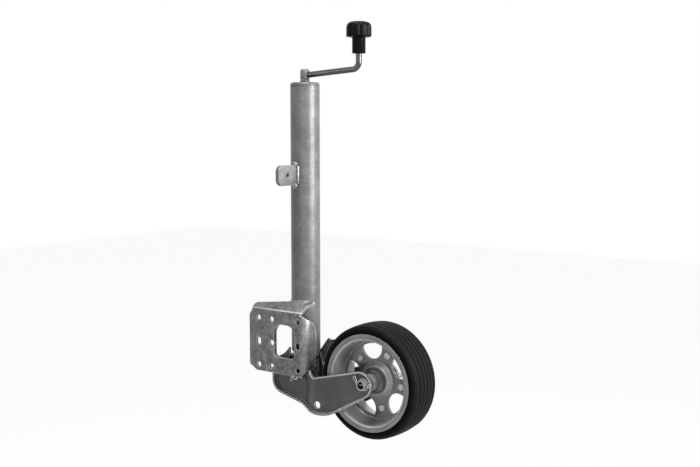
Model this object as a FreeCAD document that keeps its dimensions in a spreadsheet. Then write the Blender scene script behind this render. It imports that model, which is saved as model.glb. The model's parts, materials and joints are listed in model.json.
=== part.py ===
"""Jockey wheel with a bolt-on bracket, a crank handle and a fork that folds up beside its tube.

The part stands upright, +Z up. Its origin is the middle of the four outer bolt holes of the
bracket, on the face that lies against the drawbar. The drawbar is on the -Y side. The pose is
the stowed one: the inner tube is wound up and the wheel is folded to the +X side.
"""
import FreeCAD
import Part
import Sketcher
import math
import os

from FreeCAD import Rotation, Vector

# The driving sizes, in millimetres and degrees
SIZES = {
    # Where the main axes lie
    "tube_across": 38.5,        # tube axis, to the right of the bolt pattern's middle
    "tube_behind": 45.0,        # tube axis, behind the mounting face
    "pivot_drop": 64.3,         # fork pivot, below the bolt pattern's middle
    "axle_reach": 182.6,        # wheel axle, to the right of the fork pivot
    "axle_rise": 12.0,          # wheel axle, above the fork pivot
    # Outer tube and its cap
    "tube_radius": 30.0,
    "tube_wall": 3.0,
    "tube_top": 530.0,
    "tube_foot": 15.3,          # how far the tube reaches below the bolt pattern's middle
    "cap_height": 7.0,
    "cap_edge": 5.0,
    "cap_spigot": 12.0,
    "running_gap": 0.3,         # free space between faces that pass each other
    "slide_gap": 0.05,          # radial play of sliding and turning fits
    # Mounting bracket
    "plate_thickness": 4.5,
    "bolt_spacing_across": 105.0,
    "bolt_spacing_up": 100.0,
    "inner_column": 35.0,       # from the left column of holes to the middle one
    "bolt_radius": 5.5,
    "slot_travel": 4.5,
    "plate_left": 78.0,
    "plate_top": 69.0,         # where the plate's face would meet the top flange's
    "plate_bottom": 63.3,
    "corner_across": 19.0,      # bottom left corner cut
    "corner_up": 11.5,
    "shoulder_across": 7.5,     # top left corner cut
    "shoulder_down": 10.0,
    "toe_inset": 15.0,          # bottom right corner cut, from the side flange
    "toe_rise": 20.0,
    "toe_bend_rise": 16.0,      # the same cut, where the bend ends
    "bend_radius": 16.0,
    "ridge_radius": 9.0,        # bend between the plate and the top flange
    "trim_margin": 1.0,         # how far a trimming cut reaches past the sheet
    "flange_back": 34.0,        # how far the side flange reaches behind the mounting face
    "flange_shoulder": 39.0,    # how far the side flange's top falls away
    "flange_mid_drop": 17.5,
    "window_left": 11.5,
    "window_right": 43.5,
    "window_top": 40.5,
    "window_bottom": 28.5,
    "window_crown": 20.0,
    "window_corner": 9.0,
    "window_collar": 9.5,       # depth of the drawn edge round the window
    "collar_wall": 3.0,
    "roof_angle": 43.0,         # slope of the top flange
    "roof_depth_left": 16.5,
    "roof_depth_tube": 27.0,
    "roof_depth_right": 33.0,
    "roof_left_round": 10.0,
    "roof_overhang": 3.5,       # past the side flange, at the back
    "roof_hook": 60.0,          # hollow curve of its right edge
    "weld_width": 4.0,
    "weld_rise": 10.0,          # top of the upper weld, above the roof at the tube
    "weld_reach": 55.5,         # its width, seen from the drawbar
    "weld_depth": 18.6,
    # Side lug
    "lug_height": 350.5,
    "lug_width": 41.0,
    "lug_length": 60.0,
    "lug_thickness": 8.0,
    "lug_corner": 13.0,
    "lug_hole_radius": 4.2,
    "lug_hole_inset": 28.5,
    "lug_bead_radius": 5.0,
    "lug_bead_length": 14.4,
    "lug_root_bead": 3.2,
    # Spindle, bearing and nut
    "spindle_radius": 10.0,
    "journal_radius": 8.0,
    "spindle_foot": 215.0,
    "race_height": 3.0,
    "race_radius": 20.0,
    "ball_radius": 3.0,
    "ball_circle": 14.5,
    "ball_count": 10,
    "collar_height": 8.0,
    "collar_radius": 19.0,
    "nut_height": 30.0,
    "nut_drop": 12.0,           # from the spindle collar down to the nut
    # Crank and knob
    "head_radius": 9.5,
    "head_height": 26.5,
    "head_chamfer": 3.0,
    "notch_reach": 5.5,         # notch under the rod, from the spindle's axis
    "notch_height": 6.0,
    "notch_side": 9.0,
    "spigot_radius": 5.0,
    "rod_radius": 6.0,
    "rod_height": 14.0,         # rod's middle above the head's foot
    "rod_slope": 4.0,
    "crank_reach": 134.5,
    "elbow_radius": 15.0,
    "knob_foot": 590.0,
    "knob_top": 656.0,
    "knob_head_foot": 621.0,
    "knob_radius": 25.0,
    "knob_skirt_radius": 13.2,
    "knob_wall": 4.0,
    "knob_lobes": 8,
    "knob_flute_radius": 9.0,
    "knob_edge": 5.0,
    "knob_brim_round": 3.0,
    "flute_depth": 2.0,
    "rod_end_gap": 18.0,        # from the rod's end up to the knob's top
    # Inner tube and its foot
    "inner_radius": 25.0,
    "inner_wall": 3.0,
    "guide_height": 42.0,
    "slide_ring_height": 14.0,
    "collar_ring_radius": 27.2,
    "collar_ring_height": 10.5,
    "buffer_radius": 26.4,
    "buffer_height": 6.5,
    "head_block_radius": 27.0,
    # Fork
    "sheet": 4.0,
    "cheek_inside": 27.5,       # half the width between the cheeks at the pivot
    "arm_inside": 46.0,         # half the width between the arms at the wheel
    "lip_height": 8.0,
    "joggle_start": 22.0,
    "joggle_end": 55.7,
    "joggle_hollow": 16.0,      # bend radii of the cheek's inner face
    "joggle_round": 6.0,
    "rim_line_width": 2.2,      # raised edge round the arm
    "rim_line_height": 1.4,
    "nose_radius": 28.3,
    "nose_across": 31.0,
    "nose_drop": 13.0,
    "nose_rise": 12.0,          # top of the nose's lip, above the pivot
    "brow_across": 52.0,
    "brow_rise": 34.5,
    "peak_across": 21.0,
    "peak_rise": 57.0,
    "brow_radius": 50.0,
    "saddle_left": 18.0,        # the cheeks pass the tube as the fork swings out
    "saddle_right": 13.0,
    "saddle_drop": 3.5,         # from the tube's foot down to the saddle
    "knee_across": 36.5,        # the cheek passes under the side flange here
    "knee_rise": 8.0,
    "crest_across": 42.0,
    "crest_rise": 17.0,
    "dip_across": 58.0,
    "dip_rise": 7.0,
    "keel_slope": 14.0,
    "belly_start": 55.0,
    "belly_radius": 82.0,
    "arm_slope": 30.0,
    "arm_top_turn": 12.0,
    "lip_end": 132.0,
    "arm_end_radius": 27.0,
    "arm_end_inset": 10.1,
    "arm_end_drop": 3.5,
    "drain_radius": 7.0,
    "drain_across": 67.6,
    "drain_drop": 47.3,
    "web_lift": 8.0,            # cross plate, above the keel
    "web_start": 12.0,
    "web_end": 24.0,
    "stop_tip_across": 33.4,
    "stop_tip_rise": 72.5,
    "stop_notch": 7.0,
    "stop_notch_depth": 3.0,
    "stop_gap": 5.6,            # from the stop plate to the tyre
    "stop_foot": 15.0,
    "plug_radius": 5.0,
    "plug_across": 14.5,
    "plug_rise": 36.0,
    "plug_proud": 0.8,
    "pin_radius": 8.0,
    "pin_bore": 4.5,
    "pin_end": 37.4,
    "washer_height": 1.5,
    "pin_washer_radius": 10.5,
    "cotter_radius": 1.5,
    # Wheel
    "tyre_radius": 115.0,
    "tyre_half_width": 40.0,
    "tyre_bead_radius": 88.0,
    "tread_half_width": 31.0,
    "shoulder_radius": 102.0,
    "shoulder_round": 14.0,
    "groove_depth": 3.0,
    "groove_width": 2.2,
    "groove_pitch": 11.6,
    "rim_edge_radius": 97.3,
    "rim_bed_radius": 84.0,
    "rim_drop_radius": 80.0,
    "rim_sheet": 3.0,
    "cone_outer_radius": 37.0,
    "cone_inner_radius": 28.0,
    "cone_rise": 9.0,
    "hub_radius": 17.0,
    "hub_step_radius": 21.5,
    "hub_step_half": 25.0,
    "hub_wall": 3.0,
    "hub_half_length": 39.0,
    "bush_flange_radius": 16.5,
    "bush_flange": 2.5,
    "bush_length": 22.0,
    "spacer_radius": 13.5,
    "axle_radius": 10.0,
    "axle_wall": 2.0,
    "axle_end": 61.5,
    "axle_washer_radius": 12.5,
    "rivet_circle": 56.5,
    "rivet_count": 5,
    "rivet_phase": -6.5,
    "rivet_radius": 7.5,
    "rivet_face_radius": 6.3,
    "rivet_shank": 4.0,
    "rivet_rise": 2.0,
    "window_circle": 66.0,
    "window_round": 24.0,
    "window_limit": 74.0,
    "window_end_round": 6.0,
    "window_phase": 29.5,
}

doc = FreeCAD.newDocument("jockey_wheel")
sheet = doc.addObject("Spreadsheet::Sheet", "sizes")
for row, (alias, number) in enumerate(SIZES.items(), start=1):
    sheet.set(f"A{row}", alias)
    sheet.set(f"B{row}", str(number))
    sheet.setAlias(f"B{row}", alias)
doc.recompute()


# Sizes that remember their spreadsheet expression
class Size:
    """A number together with the spreadsheet expression that gives it."""

    def __init__(self, number, text):
        self.number = float(number)
        self.text = text

    def __add__(self, other):
        other = as_size(other)
        return Size(self.number + other.number, f"({self.text} + {other.text})")

    def __sub__(self, other):
        other = as_size(other)
        return Size(self.number - other.number, f"({self.text} - {other.text})")

    def __mul__(self, other):
        other = as_size(other)
        return Size(self.number * other.number, f"({self.text} * {other.text})")

    def __truediv__(self, other):
        other = as_size(other)
        return Size(self.number / other.number, f"({self.text} / {other.text})")

    def __radd__(self, other):
        return as_size(other) + self

    def __rsub__(self, other):
        return as_size(other) - self

    def __rmul__(self, other):
        return as_size(other) * self

    def __rtruediv__(self, other):
        return as_size(other) / self

    def __neg__(self):
        return Size(-self.number, f"(-{self.text})")

    def __float__(self):
        return self.number


def as_size(value):
    return value if isinstance(value, Size) else Size(value, f"({float(value)!r})")


def cosine(angle):
    angle = as_size(angle)
    return Size(math.cos(math.radians(angle.number)), f"cos({angle.text})")


def sine(angle):
    angle = as_size(angle)
    return Size(math.sin(math.radians(angle.number)), f"sin({angle.text})")


def root(value):
    value = as_size(value)
    return Size(math.sqrt(value.number), f"sqrt({value.text})")


class Sheet:
    """The driving sizes by name."""

    def __getattr__(self, alias):
        return Size(SIZES[alias], f"sizes.{alias}")


s = Sheet()
AXLE_DROP = s.pivot_drop - s.axle_rise
PARTS = []


# Helpers: binding, sketches, solids
def bind(thing, prop, value):
    """Set a property and tie it to the spreadsheet."""
    value = as_size(value)
    thing.setExpression(prop, value.text)


def place(thing, across=0, behind=0, up=0, turn=None):
    """Put a thing at a bound place, turned by a fixed rotation."""
    spots = [as_size(v) for v in (across, behind, up)]
    thing.Placement = FreeCAD.Placement(Vector(*[float(v) for v in spots]), turn or Rotation())
    for axis, value in zip("xyz", spots):
        bind(thing, f"Placement.Base.{axis}", value)
    return thing


def part(thing, name):
    """Name a finished sub-part; its label names its file."""
    thing.Label = name
    PARTS.append(thing)
    return thing


def body_at(name, across=0, behind=0, up=0):
    return place(doc.addObject("PartDesign::Body", name), across, behind, up)


def sketch_on(body, plane, name, offset=None):
    """A sketch on one of the body's own origin planes, moved along its normal by offset."""
    drawing = body.newObject("Sketcher::SketchObject", name)
    support = [f for f in body.Origin.OriginFeatures if f.Role == plane][0]
    drawing.AttachmentSupport = [(support, "")]
    drawing.MapMode = "FlatFace"
    if offset is not None:
        bind(drawing, "AttachmentOffset.Base.z", offset)
    return drawing


def free_sketch(name, plane, across=0, behind=0, up=0):
    """A sketch for an extrusion: XZ is seen from the front, XY from above, YZ from the right."""
    turn = {"XZ": Rotation(Vector(1, 0, 0), 90), "XY": Rotation(),
            "YZ": Rotation(Vector(1, 1, 1), 120)}[plane]
    drawing = doc.addObject("Sketcher::SketchObject", name)
    return place(drawing, across, behind, up, turn)


def pin_point(drawing, geometry, end, across, up):
    """Hold one point of a sketch at bound coordinates."""
    for kind, value in (("DistanceX", across), ("DistanceY", up)):
        value = as_size(value)
        index = drawing.addConstraint(
            Sketcher.Constraint(kind, -1, 1, geometry, end, value.number))
        drawing.setExpression(f"Constraints[{index}]", value.text)


def arc_middle(start, end, radius):
    """The middle point of the short arc from start to end; radius > 0 bulges to the right."""
    chord = end - start
    half = chord.Length / 2
    rise = abs(radius) - math.sqrt(max(radius * radius - half * half, 0))
    normal = Vector(chord.y, -chord.x, 0).normalize()
    return (start + end) / 2 + normal * math.copysign(rise, radius)


def outline(drawing, corners):
    """A closed outline. A corner is (across, up), or (across, up, radius) before an arc.

    The outline runs counter-clockwise, and an arc of negative radius is hollow. A sketch keeps
    every arc counter-clockwise, so a hollow one is drawn from its end to its start.
    """
    flat = [Vector(float(c[0]), float(c[1]), 0) for c in corners]
    edges = []
    for index, corner in enumerate(corners):
        start = flat[index]
        end = flat[(index + 1) % len(corners)]
        radius = as_size(corner[2]) if len(corner) == 3 else None
        if radius is None:
            edges.append((drawing.addGeometry(Part.LineSegment(start, end), False), 1, 2))
            continue
        middle = arc_middle(start, end, radius.number)
        hollow = radius.number < 0
        arc = Part.Arc(end, middle, start) if hollow else Part.Arc(start, middle, end)
        geometry = drawing.addGeometry(arc, False)
        edges.append((geometry, 2, 1) if hollow else (geometry, 1, 2))
        if abs(radius.number) > (end - start).Length / 2 + 1e-6:
            size = -radius if hollow else radius
            row = drawing.addConstraint(Sketcher.Constraint("Radius", geometry, size.number))
            drawing.setExpression(f"Constraints[{row}]", size.text)
    for index, (geometry, start, end) in enumerate(edges):
        following = edges[(index + 1) % len(edges)]
        drawing.addConstraint(Sketcher.Constraint(
            "Coincident", geometry, end, following[0], following[1]))
        pin_point(drawing, geometry, start, *corners[index][:2])
    return drawing


def circle(drawing, across, up, radius):
    radius = as_size(radius)
    centre = Vector(float(across), float(up), 0)
    geometry = drawing.addGeometry(Part.Circle(centre, Vector(0, 0, 1), radius.number), False)
    row = drawing.addConstraint(Sketcher.Constraint("Radius", geometry, radius.number))
    drawing.setExpression(f"Constraints[{row}]", radius.text)
    pin_point(drawing, geometry, 3, across, up)
    return drawing


def pad(body, drawing, length, middle=False, back=False):
    feature = body.newObject("PartDesign::Pad", f"{body.Name}_pad")
    feature.Profile = drawing
    bind(feature, "Length", length)
    feature.SideType = "Symmetric" if middle else "One side"
    feature.Reversed = back
    return feature


def pocket(body, drawing, name="cut"):
    """Cut right through the body, both ways from the sketch."""
    feature = body.newObject("PartDesign::Pocket", f"{body.Name}_{name}")
    feature.Profile = drawing
    feature.SideType = "Symmetric"
    feature.Type = "ThroughAll"
    return feature


def turned(name, plane, corners, across=0, behind=0, up=0):
    """A turned body: its half section is revolved about the sketch's upright axis."""
    body = body_at(name, across, behind, up)
    drawing = outline(sketch_on(body, plane, f"{name}_section"), corners)
    feature = body.newObject("PartDesign::Revolution", f"{name}_turned")
    feature.Profile = drawing
    feature.ReferenceAxis = (drawing, ["V_Axis"])
    feature.Angle = 360
    body.Tip = feature
    return body


def on_tube(name, corners):
    """A turned body on the tube's upright axis; corners are (radius, height)."""
    return turned(name, "XZ_Plane", corners, s.tube_across, s.tube_behind, 0)


def on_axle(name, corners):
    """A turned body on the wheel's axle; corners are (radius, distance behind the middle)."""
    return turned(name, "XY_Plane", corners,
                  s.tube_across + s.axle_reach, s.tube_behind, -AXLE_DROP)


def ring(inside, outside, low, high):
    return [(inside, low), (outside, low), (outside, high), (inside, high)]


TURNS = {"x": Rotation(Vector(0, 1, 0), 90), "y": Rotation(Vector(1, 0, 0), -90), "z": Rotation()}


def rod(name, radius, length, across, behind, up, axis="y"):
    """A round bar from a bound start, along one axis."""
    bar = doc.addObject("Part::Cylinder", name)
    bind(bar, "Radius", radius)
    bind(bar, "Height", length)
    return place(bar, across, behind, up, TURNS[axis])


def extruded(name, drawing, forward, backward=0):
    """A sketch extruded along its normal, which points to -Y for plane XZ."""
    solid = doc.addObject("Part::Extrusion", name)
    solid.Base = drawing
    solid.DirMode = "Normal"
    solid.Solid = True
    bind(solid, "LengthFwd", forward)
    bind(solid, "LengthRev", backward)
    return solid


def cut(name, base, *tools):
    for number, tool in enumerate(tools, start=1):
        step = doc.addObject("Part::Cut", name if number == len(tools) else f"{name}_{number}")
        step.Base = base
        step.Tool = tool
        base = step
    return base


def common(name, first, second):
    step = doc.addObject("Part::MultiCommon", name)
    step.Shapes = [first, second]
    return step


def fused(name, members):
    step = doc.addObject("Part::MultiFuse", name)
    step.Shapes = members
    return step


def group(name, members):
    """Separate solids that share one node."""
    step = doc.addObject("Part::Compound", name)
    step.Links = members
    return step


def mirrored(name, source):
    """The other side's copy, mirrored across the tube's middle plane."""
    copy = doc.addObject("Part::Mirroring", name)
    copy.Source = source
    copy.Normal = Vector(0, 1, 0)
    copy.Base = Vector(0, s.tube_behind.number, 0)
    bind(copy, "Base.y", s.tube_behind)
    return copy


def corner_edges(feature, spots, axis, tolerance=0.3):
    """Names of the straight edges along one axis that pass through the given spots."""
    found = []
    flat = {"x": ("y", "z"), "y": ("x", "z"), "z": ("x", "y")}[axis]
    for number, edge in enumerate(feature.Shape.Edges, start=1):
        if len(edge.Vertexes) < 2 or edge.Curve.TypeId != "Part::GeomLine":
            continue
        if abs(getattr(edge.Curve.Direction, axis)) < 0.99:
            continue
        middle = edge.CenterOfMass
        for spot in spots:
            gap = [abs(getattr(middle, a) - float(v)) for a, v in zip(flat, spot)]
            if max(gap) < tolerance:
                found.append(f"Edge{number}")
    return found


def rounded(body, feature, edges, radius, name="round"):
    """A fillet on named edges of the body's last feature."""
    step = body.newObject("PartDesign::Fillet", f"{body.Name}_{name}")
    step.Base = (feature, edges)
    bind(step, "Radius", radius)
    body.Tip = step
    return step


# Outer tube, cap and guide bush
tube_inside = s.tube_radius - s.tube_wall
on_outer = on_tube("outer_tube", ring(tube_inside, s.tube_radius, -s.tube_foot, s.tube_top))
part(on_outer, "outer_tube")

cap_top = s.tube_top + s.cap_height
cap_foot = s.tube_top - s.cap_spigot
cap_bore = s.journal_radius + s.slide_gap
top_cap = on_tube("top_cap", [
    (cap_bore, cap_foot),
    (tube_inside, cap_foot),
    (tube_inside, s.tube_top),
    (s.tube_radius, s.tube_top),
    (s.tube_radius, cap_top - s.cap_edge, s.cap_edge),
    (s.tube_radius - s.cap_edge, cap_top),
    (cap_bore, cap_top),
])
part(top_cap, "top_cap")

guide_bush = on_tube("guide_bush", ring(
    s.inner_radius + s.slide_gap, tube_inside, -s.tube_foot, s.guide_height - s.tube_foot))
part(guide_bush, "lower_guide_bush")

# Thrust bearing: two races with balls between them, under the cap
upper_race_foot = cap_foot - s.race_height
ball_middle = upper_race_foot - s.ball_radius
lower_race_top = ball_middle - s.ball_radius
spindle_collar_top = lower_race_top - s.race_height
part(on_tube("upper_race", ring(
    cap_bore, s.race_radius, upper_race_foot, cap_foot)), "thrust_race_upper")
part(on_tube("lower_race", ring(
    cap_bore, s.race_radius, spindle_collar_top, lower_race_top)), "thrust_race_lower")
balls = []
for number in range(int(s.ball_count.number)):
    angle = 360 * number / s.ball_count
    ball = doc.addObject("Part::Sphere", f"ball_{number + 1}")
    bind(ball, "Radius", s.ball_radius)
    place(ball, s.tube_across + s.ball_circle * cosine(angle),
          s.tube_behind + s.ball_circle * sine(angle), ball_middle)
    balls.append(ball)
part(group("bearing_balls", balls), "thrust_balls")

# Spindle with its collar, and the crank head on its upper end
spindle_collar_foot = spindle_collar_top - s.collar_height
head_foot = cap_top + s.running_gap
rod_level = head_foot + s.rod_height
spigot_top = rod_level - s.rod_radius
spindle = on_tube("spindle_bar", [
    (0, s.spindle_foot),
    (s.spindle_radius, s.spindle_foot),
    (s.spindle_radius, spindle_collar_foot),
    (s.collar_radius, spindle_collar_foot),
    (s.collar_radius, spindle_collar_top),
    (s.journal_radius, spindle_collar_top),
    (s.journal_radius, head_foot),
    (s.spigot_radius, head_foot),
    (s.spigot_radius, spigot_top),
    (0, spigot_top),
])

head_top = head_foot + s.head_height
head_blank = on_tube("head_blank", [
    (s.spigot_radius, head_foot),
    (s.head_radius, head_foot),
    (s.head_radius, head_top - s.head_chamfer),
    (s.head_radius - s.head_chamfer, head_top),
    (0, head_top),
    (0, spigot_top),
    (s.spigot_radius, spigot_top),
])


def crank_rod(name):
    """The bent crank rod: an arm that rises gently, an elbow and an upright end."""
    body = body_at(name, s.tube_across, s.tube_behind, rod_level)
    elbow_across = s.crank_reach - s.elbow_radius
    start = elbow_across + s.elbow_radius * sine(s.rod_slope)
    start_up = start * sine(s.rod_slope) / cosine(s.rod_slope)
    centre_up = start_up + s.elbow_radius * cosine(s.rod_slope)
    rod_top = s.knob_top - s.rod_end_gap - rod_level
    path = sketch_on(body, "XZ_Plane", f"{name}_path")
    points = [Vector(0, 0, 0), Vector(float(start), float(start_up), 0),
              Vector(float(s.crank_reach), float(centre_up), 0),
              Vector(float(s.crank_reach), float(rod_top), 0)]
    half = (90 - s.rod_slope.number) / 2
    bend = Vector(float(elbow_across), float(centre_up), 0)
    turn = math.radians(s.rod_slope.number - 90 + half)
    middle = bend + Vector(math.cos(turn), math.sin(turn), 0) * s.elbow_radius.number
    path.addGeometry(Part.LineSegment(points[0], points[1]), False)
    path.addGeometry(Part.Arc(points[1], middle, points[2]), False)
    path.addGeometry(Part.LineSegment(points[2], points[3]), False)
    pin_point(path, 0, 2, start, start_up)
    pin_point(path, 1, 3, elbow_across, centre_up)
    pin_point(path, 2, 1, s.crank_reach, centre_up)
    pin_point(path, 2, 2, s.crank_reach, rod_top)
    section = circle(sketch_on(body, "YZ_Plane", f"{name}_section"), 0, 0, s.rod_radius)
    doc.recompute()
    feature = body.newObject("PartDesign::AdditivePipe", f"{name}_swept")
    feature.Profile = section
    feature.Spine = (path, ["Edge1", "Edge2", "Edge3"])
    body.Tip = feature
    return body


# A roll pin holds the head on the spindle
head_pin = rod("head_pin_bar", s.cotter_radius, s.head_radius * 2, s.tube_across,
               s.tube_behind - s.head_radius, head_foot + s.head_chamfer + s.cotter_radius)
crank = crank_rod("crank_rod")
part(crank, "crank_handle")
notch = doc.addObject("Part::Box", "head_notch")
bind(notch, "Length", s.notch_side)
bind(notch, "Width", s.head_radius * 2)
bind(notch, "Height", s.notch_side)
place(notch, s.tube_across + s.notch_reach, s.tube_behind - s.head_radius,
      head_foot + s.notch_height, Rotation(Vector(0, 1, 0), 45))
part(cut("head_bored", head_blank, crank, head_pin, notch), "crank_head")
part(cut("spindle_drilled", spindle, head_pin), "spindle")
part(head_pin, "head_pin")

# Knob: a lobed head on a plain skirt, free to turn on the rod's upright end
crank_x = s.tube_across + s.crank_reach
knob_bore = s.rod_radius + s.slide_gap
rod_end = s.knob_top - s.rod_end_gap
knob_ceiling = s.knob_top - s.knob_wall
cavity = s.knob_skirt_radius - s.knob_wall
retainer_foot = rod_end - s.race_height
knob = turned("knob_body", "XZ_Plane", [
    (knob_bore, s.knob_foot),
    (s.knob_skirt_radius, s.knob_foot),
    (s.knob_skirt_radius, s.knob_head_foot),
    (s.knob_radius - s.knob_brim_round, s.knob_head_foot, s.knob_brim_round),
    (s.knob_radius, s.knob_head_foot + s.knob_brim_round),
    (s.knob_radius, s.knob_top - s.knob_edge, s.knob_edge),
    (s.knob_radius - s.knob_edge, s.knob_top),
    (0, s.knob_top),
    (0, knob_ceiling),
    (cavity, knob_ceiling),
    (cavity, retainer_foot - s.running_gap),
    (knob_bore, retainer_foot - s.running_gap),
], crank_x, s.tube_behind, 0)
doc.recompute()
flute = sketch_on(knob, "XY_Plane", "knob_flute")
circle(flute, s.knob_radius + s.knob_flute_radius - s.flute_depth, 0, s.knob_flute_radius)
flute_cut = pocket(knob, flute, "flute")
knob.Tip = flute_cut
flute_ring = knob.newObject("PartDesign::PolarPattern", "knob_flutes")
flute_ring.Originals = [flute_cut]
flute_ring.Axis = (flute, ["N_Axis"])
bind(flute_ring, "Occurrences", s.knob_lobes)
knob.Tip = flute_ring
part(knob, "knob_grip")
part(turned("retainer_ring", "XZ_Plane", ring(
    s.rod_radius, cavity - s.running_gap, retainer_foot, rod_end),
    crank_x, s.tube_behind, 0), "knob_retainer")

# Side lug, a flat plate that stands out of the tube towards the drawbar
lug_root = s.tube_behind - tube_inside
lug_front = s.tube_behind - s.tube_radius - s.lug_length
lug = body_at("lug_plate", s.tube_across, 0, s.lug_height)
lug_drawing = sketch_on(lug, "YZ_Plane", "lug_outline")
half_lug = s.lug_width / 2
outline(lug_drawing, [
    (lug_front, -half_lug), (lug_root, -half_lug), (lug_root, half_lug), (lug_front, half_lug)])
lug_pad = pad(lug, lug_drawing, s.lug_thickness, middle=True)
doc.recompute()
lug_ends = corner_edges(lug_pad, [(lug_front, -half_lug), (lug_front, half_lug)], "x")
lug_round = rounded(lug, lug_pad, lug_ends, s.lug_corner)
lug_hole_y = lug_front + s.lug_hole_inset
lug_hole = circle(sketch_on(lug, "YZ_Plane", "lug_hole"), lug_hole_y, 0, s.lug_hole_radius)
doc.recompute()
lug.Tip = pocket(lug, lug_hole, "hole")
tube_bar = rod("tube_bar_lug", s.tube_radius, s.lug_width * 2, s.tube_across, s.tube_behind,
               s.lug_height - s.lug_width, "z")
part(cut("lug_fitted", lug, tube_bar), "side_lug")

weld_start = s.tube_behind - s.tube_radius - s.lug_thickness
lug_beads = []
for number, side in enumerate((-1, 1), start=1):
    bar = rod(f"lug_bead_{number}", s.lug_bead_radius, s.lug_bead_length, s.tube_across,
              weld_start, s.lug_height + side * (half_lug + s.lug_bead_radius / 4))
    bar = cut(f"lug_bead_fitted_{number}", bar, tube_bar, lug)
    lug_beads.append(bar)
for number, side in enumerate((-1, 1), start=1):
    bar = rod(f"lug_root_{number}", s.lug_root_bead, s.lug_width - s.lug_bead_radius,
              s.tube_across + side * (s.lug_thickness / 2 + s.lug_root_bead / 4),
              s.tube_behind - s.tube_radius - s.lug_root_bead / 4,
              s.lug_height - (s.lug_width - s.lug_bead_radius) / 2, "z")
    lug_beads.append(cut(f"lug_root_fitted_{number}", bar, tube_bar, lug, *lug_beads[:2]))
part(group("lug_bead_set", lug_beads), "lug_welds")

# Mounting bracket: bent plate with a side flange, a sloping top flange and a drawn window
flange_face = s.tube_across + s.tube_radius + s.plate_thickness
bend_inside = s.bend_radius - s.plate_thickness
ridge_turn = (90 - s.roof_angle) / 2
ridge_foot = s.plate_top - s.ridge_radius * sine(ridge_turn) / cosine(ridge_turn)
margin = s.trim_margin
bracket = body_at("bracket_sheet")
bend = outline(sketch_on(bracket, "XY_Plane", "bracket_bend"), [
    (-s.plate_left, 0),
    (flange_face - s.bend_radius, 0, s.bend_radius),
    (flange_face, s.bend_radius),
    (flange_face, s.flange_back),
    (flange_face - s.plate_thickness, s.flange_back),
    (flange_face - s.plate_thickness, s.bend_radius, -bend_inside),
    (flange_face - s.bend_radius, s.plate_thickness),
    (-s.plate_left, s.plate_thickness),
])
bind(bend, "AttachmentOffset.Base.z", -s.plate_bottom)
pad(bracket, bend, s.plate_bottom + ridge_foot)
doc.recompute()

# The front view of the plate; what lies outside it is cut away
far = s.tube_radius * 8
toe_across = flange_face - s.toe_inset
front_trim = outline(sketch_on(bracket, "XZ_Plane", "bracket_corner_cuts"), [
    (-s.plate_left - margin, -s.plate_bottom - margin),
    (-s.plate_left + s.corner_across, -s.plate_bottom - margin),
    (-s.plate_left + s.corner_across, -s.plate_bottom),
    (-s.plate_left, -s.plate_bottom + s.corner_up),
    (-s.plate_left - margin, -s.plate_bottom + s.corner_up),
])
bracket.Tip = pocket(bracket, front_trim, "corner")
doc.recompute()
shoulder_trim = outline(sketch_on(bracket, "XZ_Plane", "bracket_shoulder_cut"), [
    (-s.plate_left - margin, ridge_foot - s.shoulder_down),
    (-s.plate_left, ridge_foot - s.shoulder_down),
    (-s.plate_left + s.shoulder_across, ridge_foot),
    (-s.plate_left + s.shoulder_across, ridge_foot + margin),
    (-s.plate_left - margin, ridge_foot + margin),
])
bracket.Tip = pocket(bracket, shoulder_trim, "shoulder")
doc.recompute()

# The toe: a slanted cut that climbs over the bend on to the side flange
toe_trim = outline(sketch_on(bracket, "XZ_Plane", "bracket_toe_cut"), [
    (toe_across, -s.plate_bottom - margin),
    (flange_face + margin, -s.plate_bottom - margin),
    (flange_face + margin, -s.plate_bottom + s.toe_bend_rise),
    (flange_face, -s.plate_bottom + s.toe_bend_rise),
    (toe_across, -s.plate_bottom),
])
bracket.Tip = pocket(bracket, toe_trim, "toe")
doc.recompute()
side_trim = outline(sketch_on(bracket, "YZ_Plane", "bracket_side_cut"), [
    (s.plate_thickness, -s.plate_bottom - margin),
    (s.flange_back + margin, -s.plate_bottom - margin),
    (s.flange_back + margin, -s.plate_bottom + s.toe_rise),
    (s.flange_back, -s.plate_bottom + s.toe_rise),
    (s.plate_thickness, -s.plate_bottom),
])
side_cut = bracket.newObject("PartDesign::Pocket", "bracket_side")
side_cut.Profile = side_trim
bind(side_trim, "AttachmentOffset.Base.z", toe_across)
side_cut.Type = "Length"
side_cut.Reversed = True
bind(side_cut, "Length", far)
bracket.Tip = side_cut
doc.recompute()

# The side flange's shoulder: a hollow curve, then a round one
shoulder_low = s.plate_top - s.flange_shoulder
flange_mid = s.flange_back / 2
flange_trim = outline(sketch_on(bracket, "YZ_Plane", "bracket_flange_cut"), [
    (0, s.plate_top + margin),
    (0, ridge_foot, s.flange_back),
    (flange_mid, s.plate_top - s.flange_mid_drop, -s.flange_back),
    (s.flange_back, shoulder_low),
    (s.flange_back + margin, shoulder_low),
    (s.flange_back + margin, s.plate_top + margin),
])
bind(flange_trim, "AttachmentOffset.Base.z", flange_face - s.bend_radius)
flange_cut = bracket.newObject("PartDesign::Pocket", "bracket_flange")
flange_cut.Profile = flange_trim
flange_cut.Type = "Length"
flange_cut.Reversed = True
bind(flange_cut, "Length", far)
bracket.Tip = flange_cut
doc.recompute()


def rounded_box(left, right, low, high, low_round, high_round):
    """The corners of an upright opening with round lower and upper corners."""
    return [
        (left, low + low_round, low_round), (left + low_round, low),
        (right - low_round, low, low_round), (right, low + low_round),
        (right, high - high_round, high_round), (right - high_round, high),
        (left + high_round, high, high_round), (left, high - high_round)]


def slot_at(across, up, radius, travel):
    """The corners of an upright slot."""
    half = travel / 2
    return [(across + radius, up - half), (across + radius, up + half, radius),
            (across - radius, up + half), (across - radius, up - half, radius)]


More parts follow.
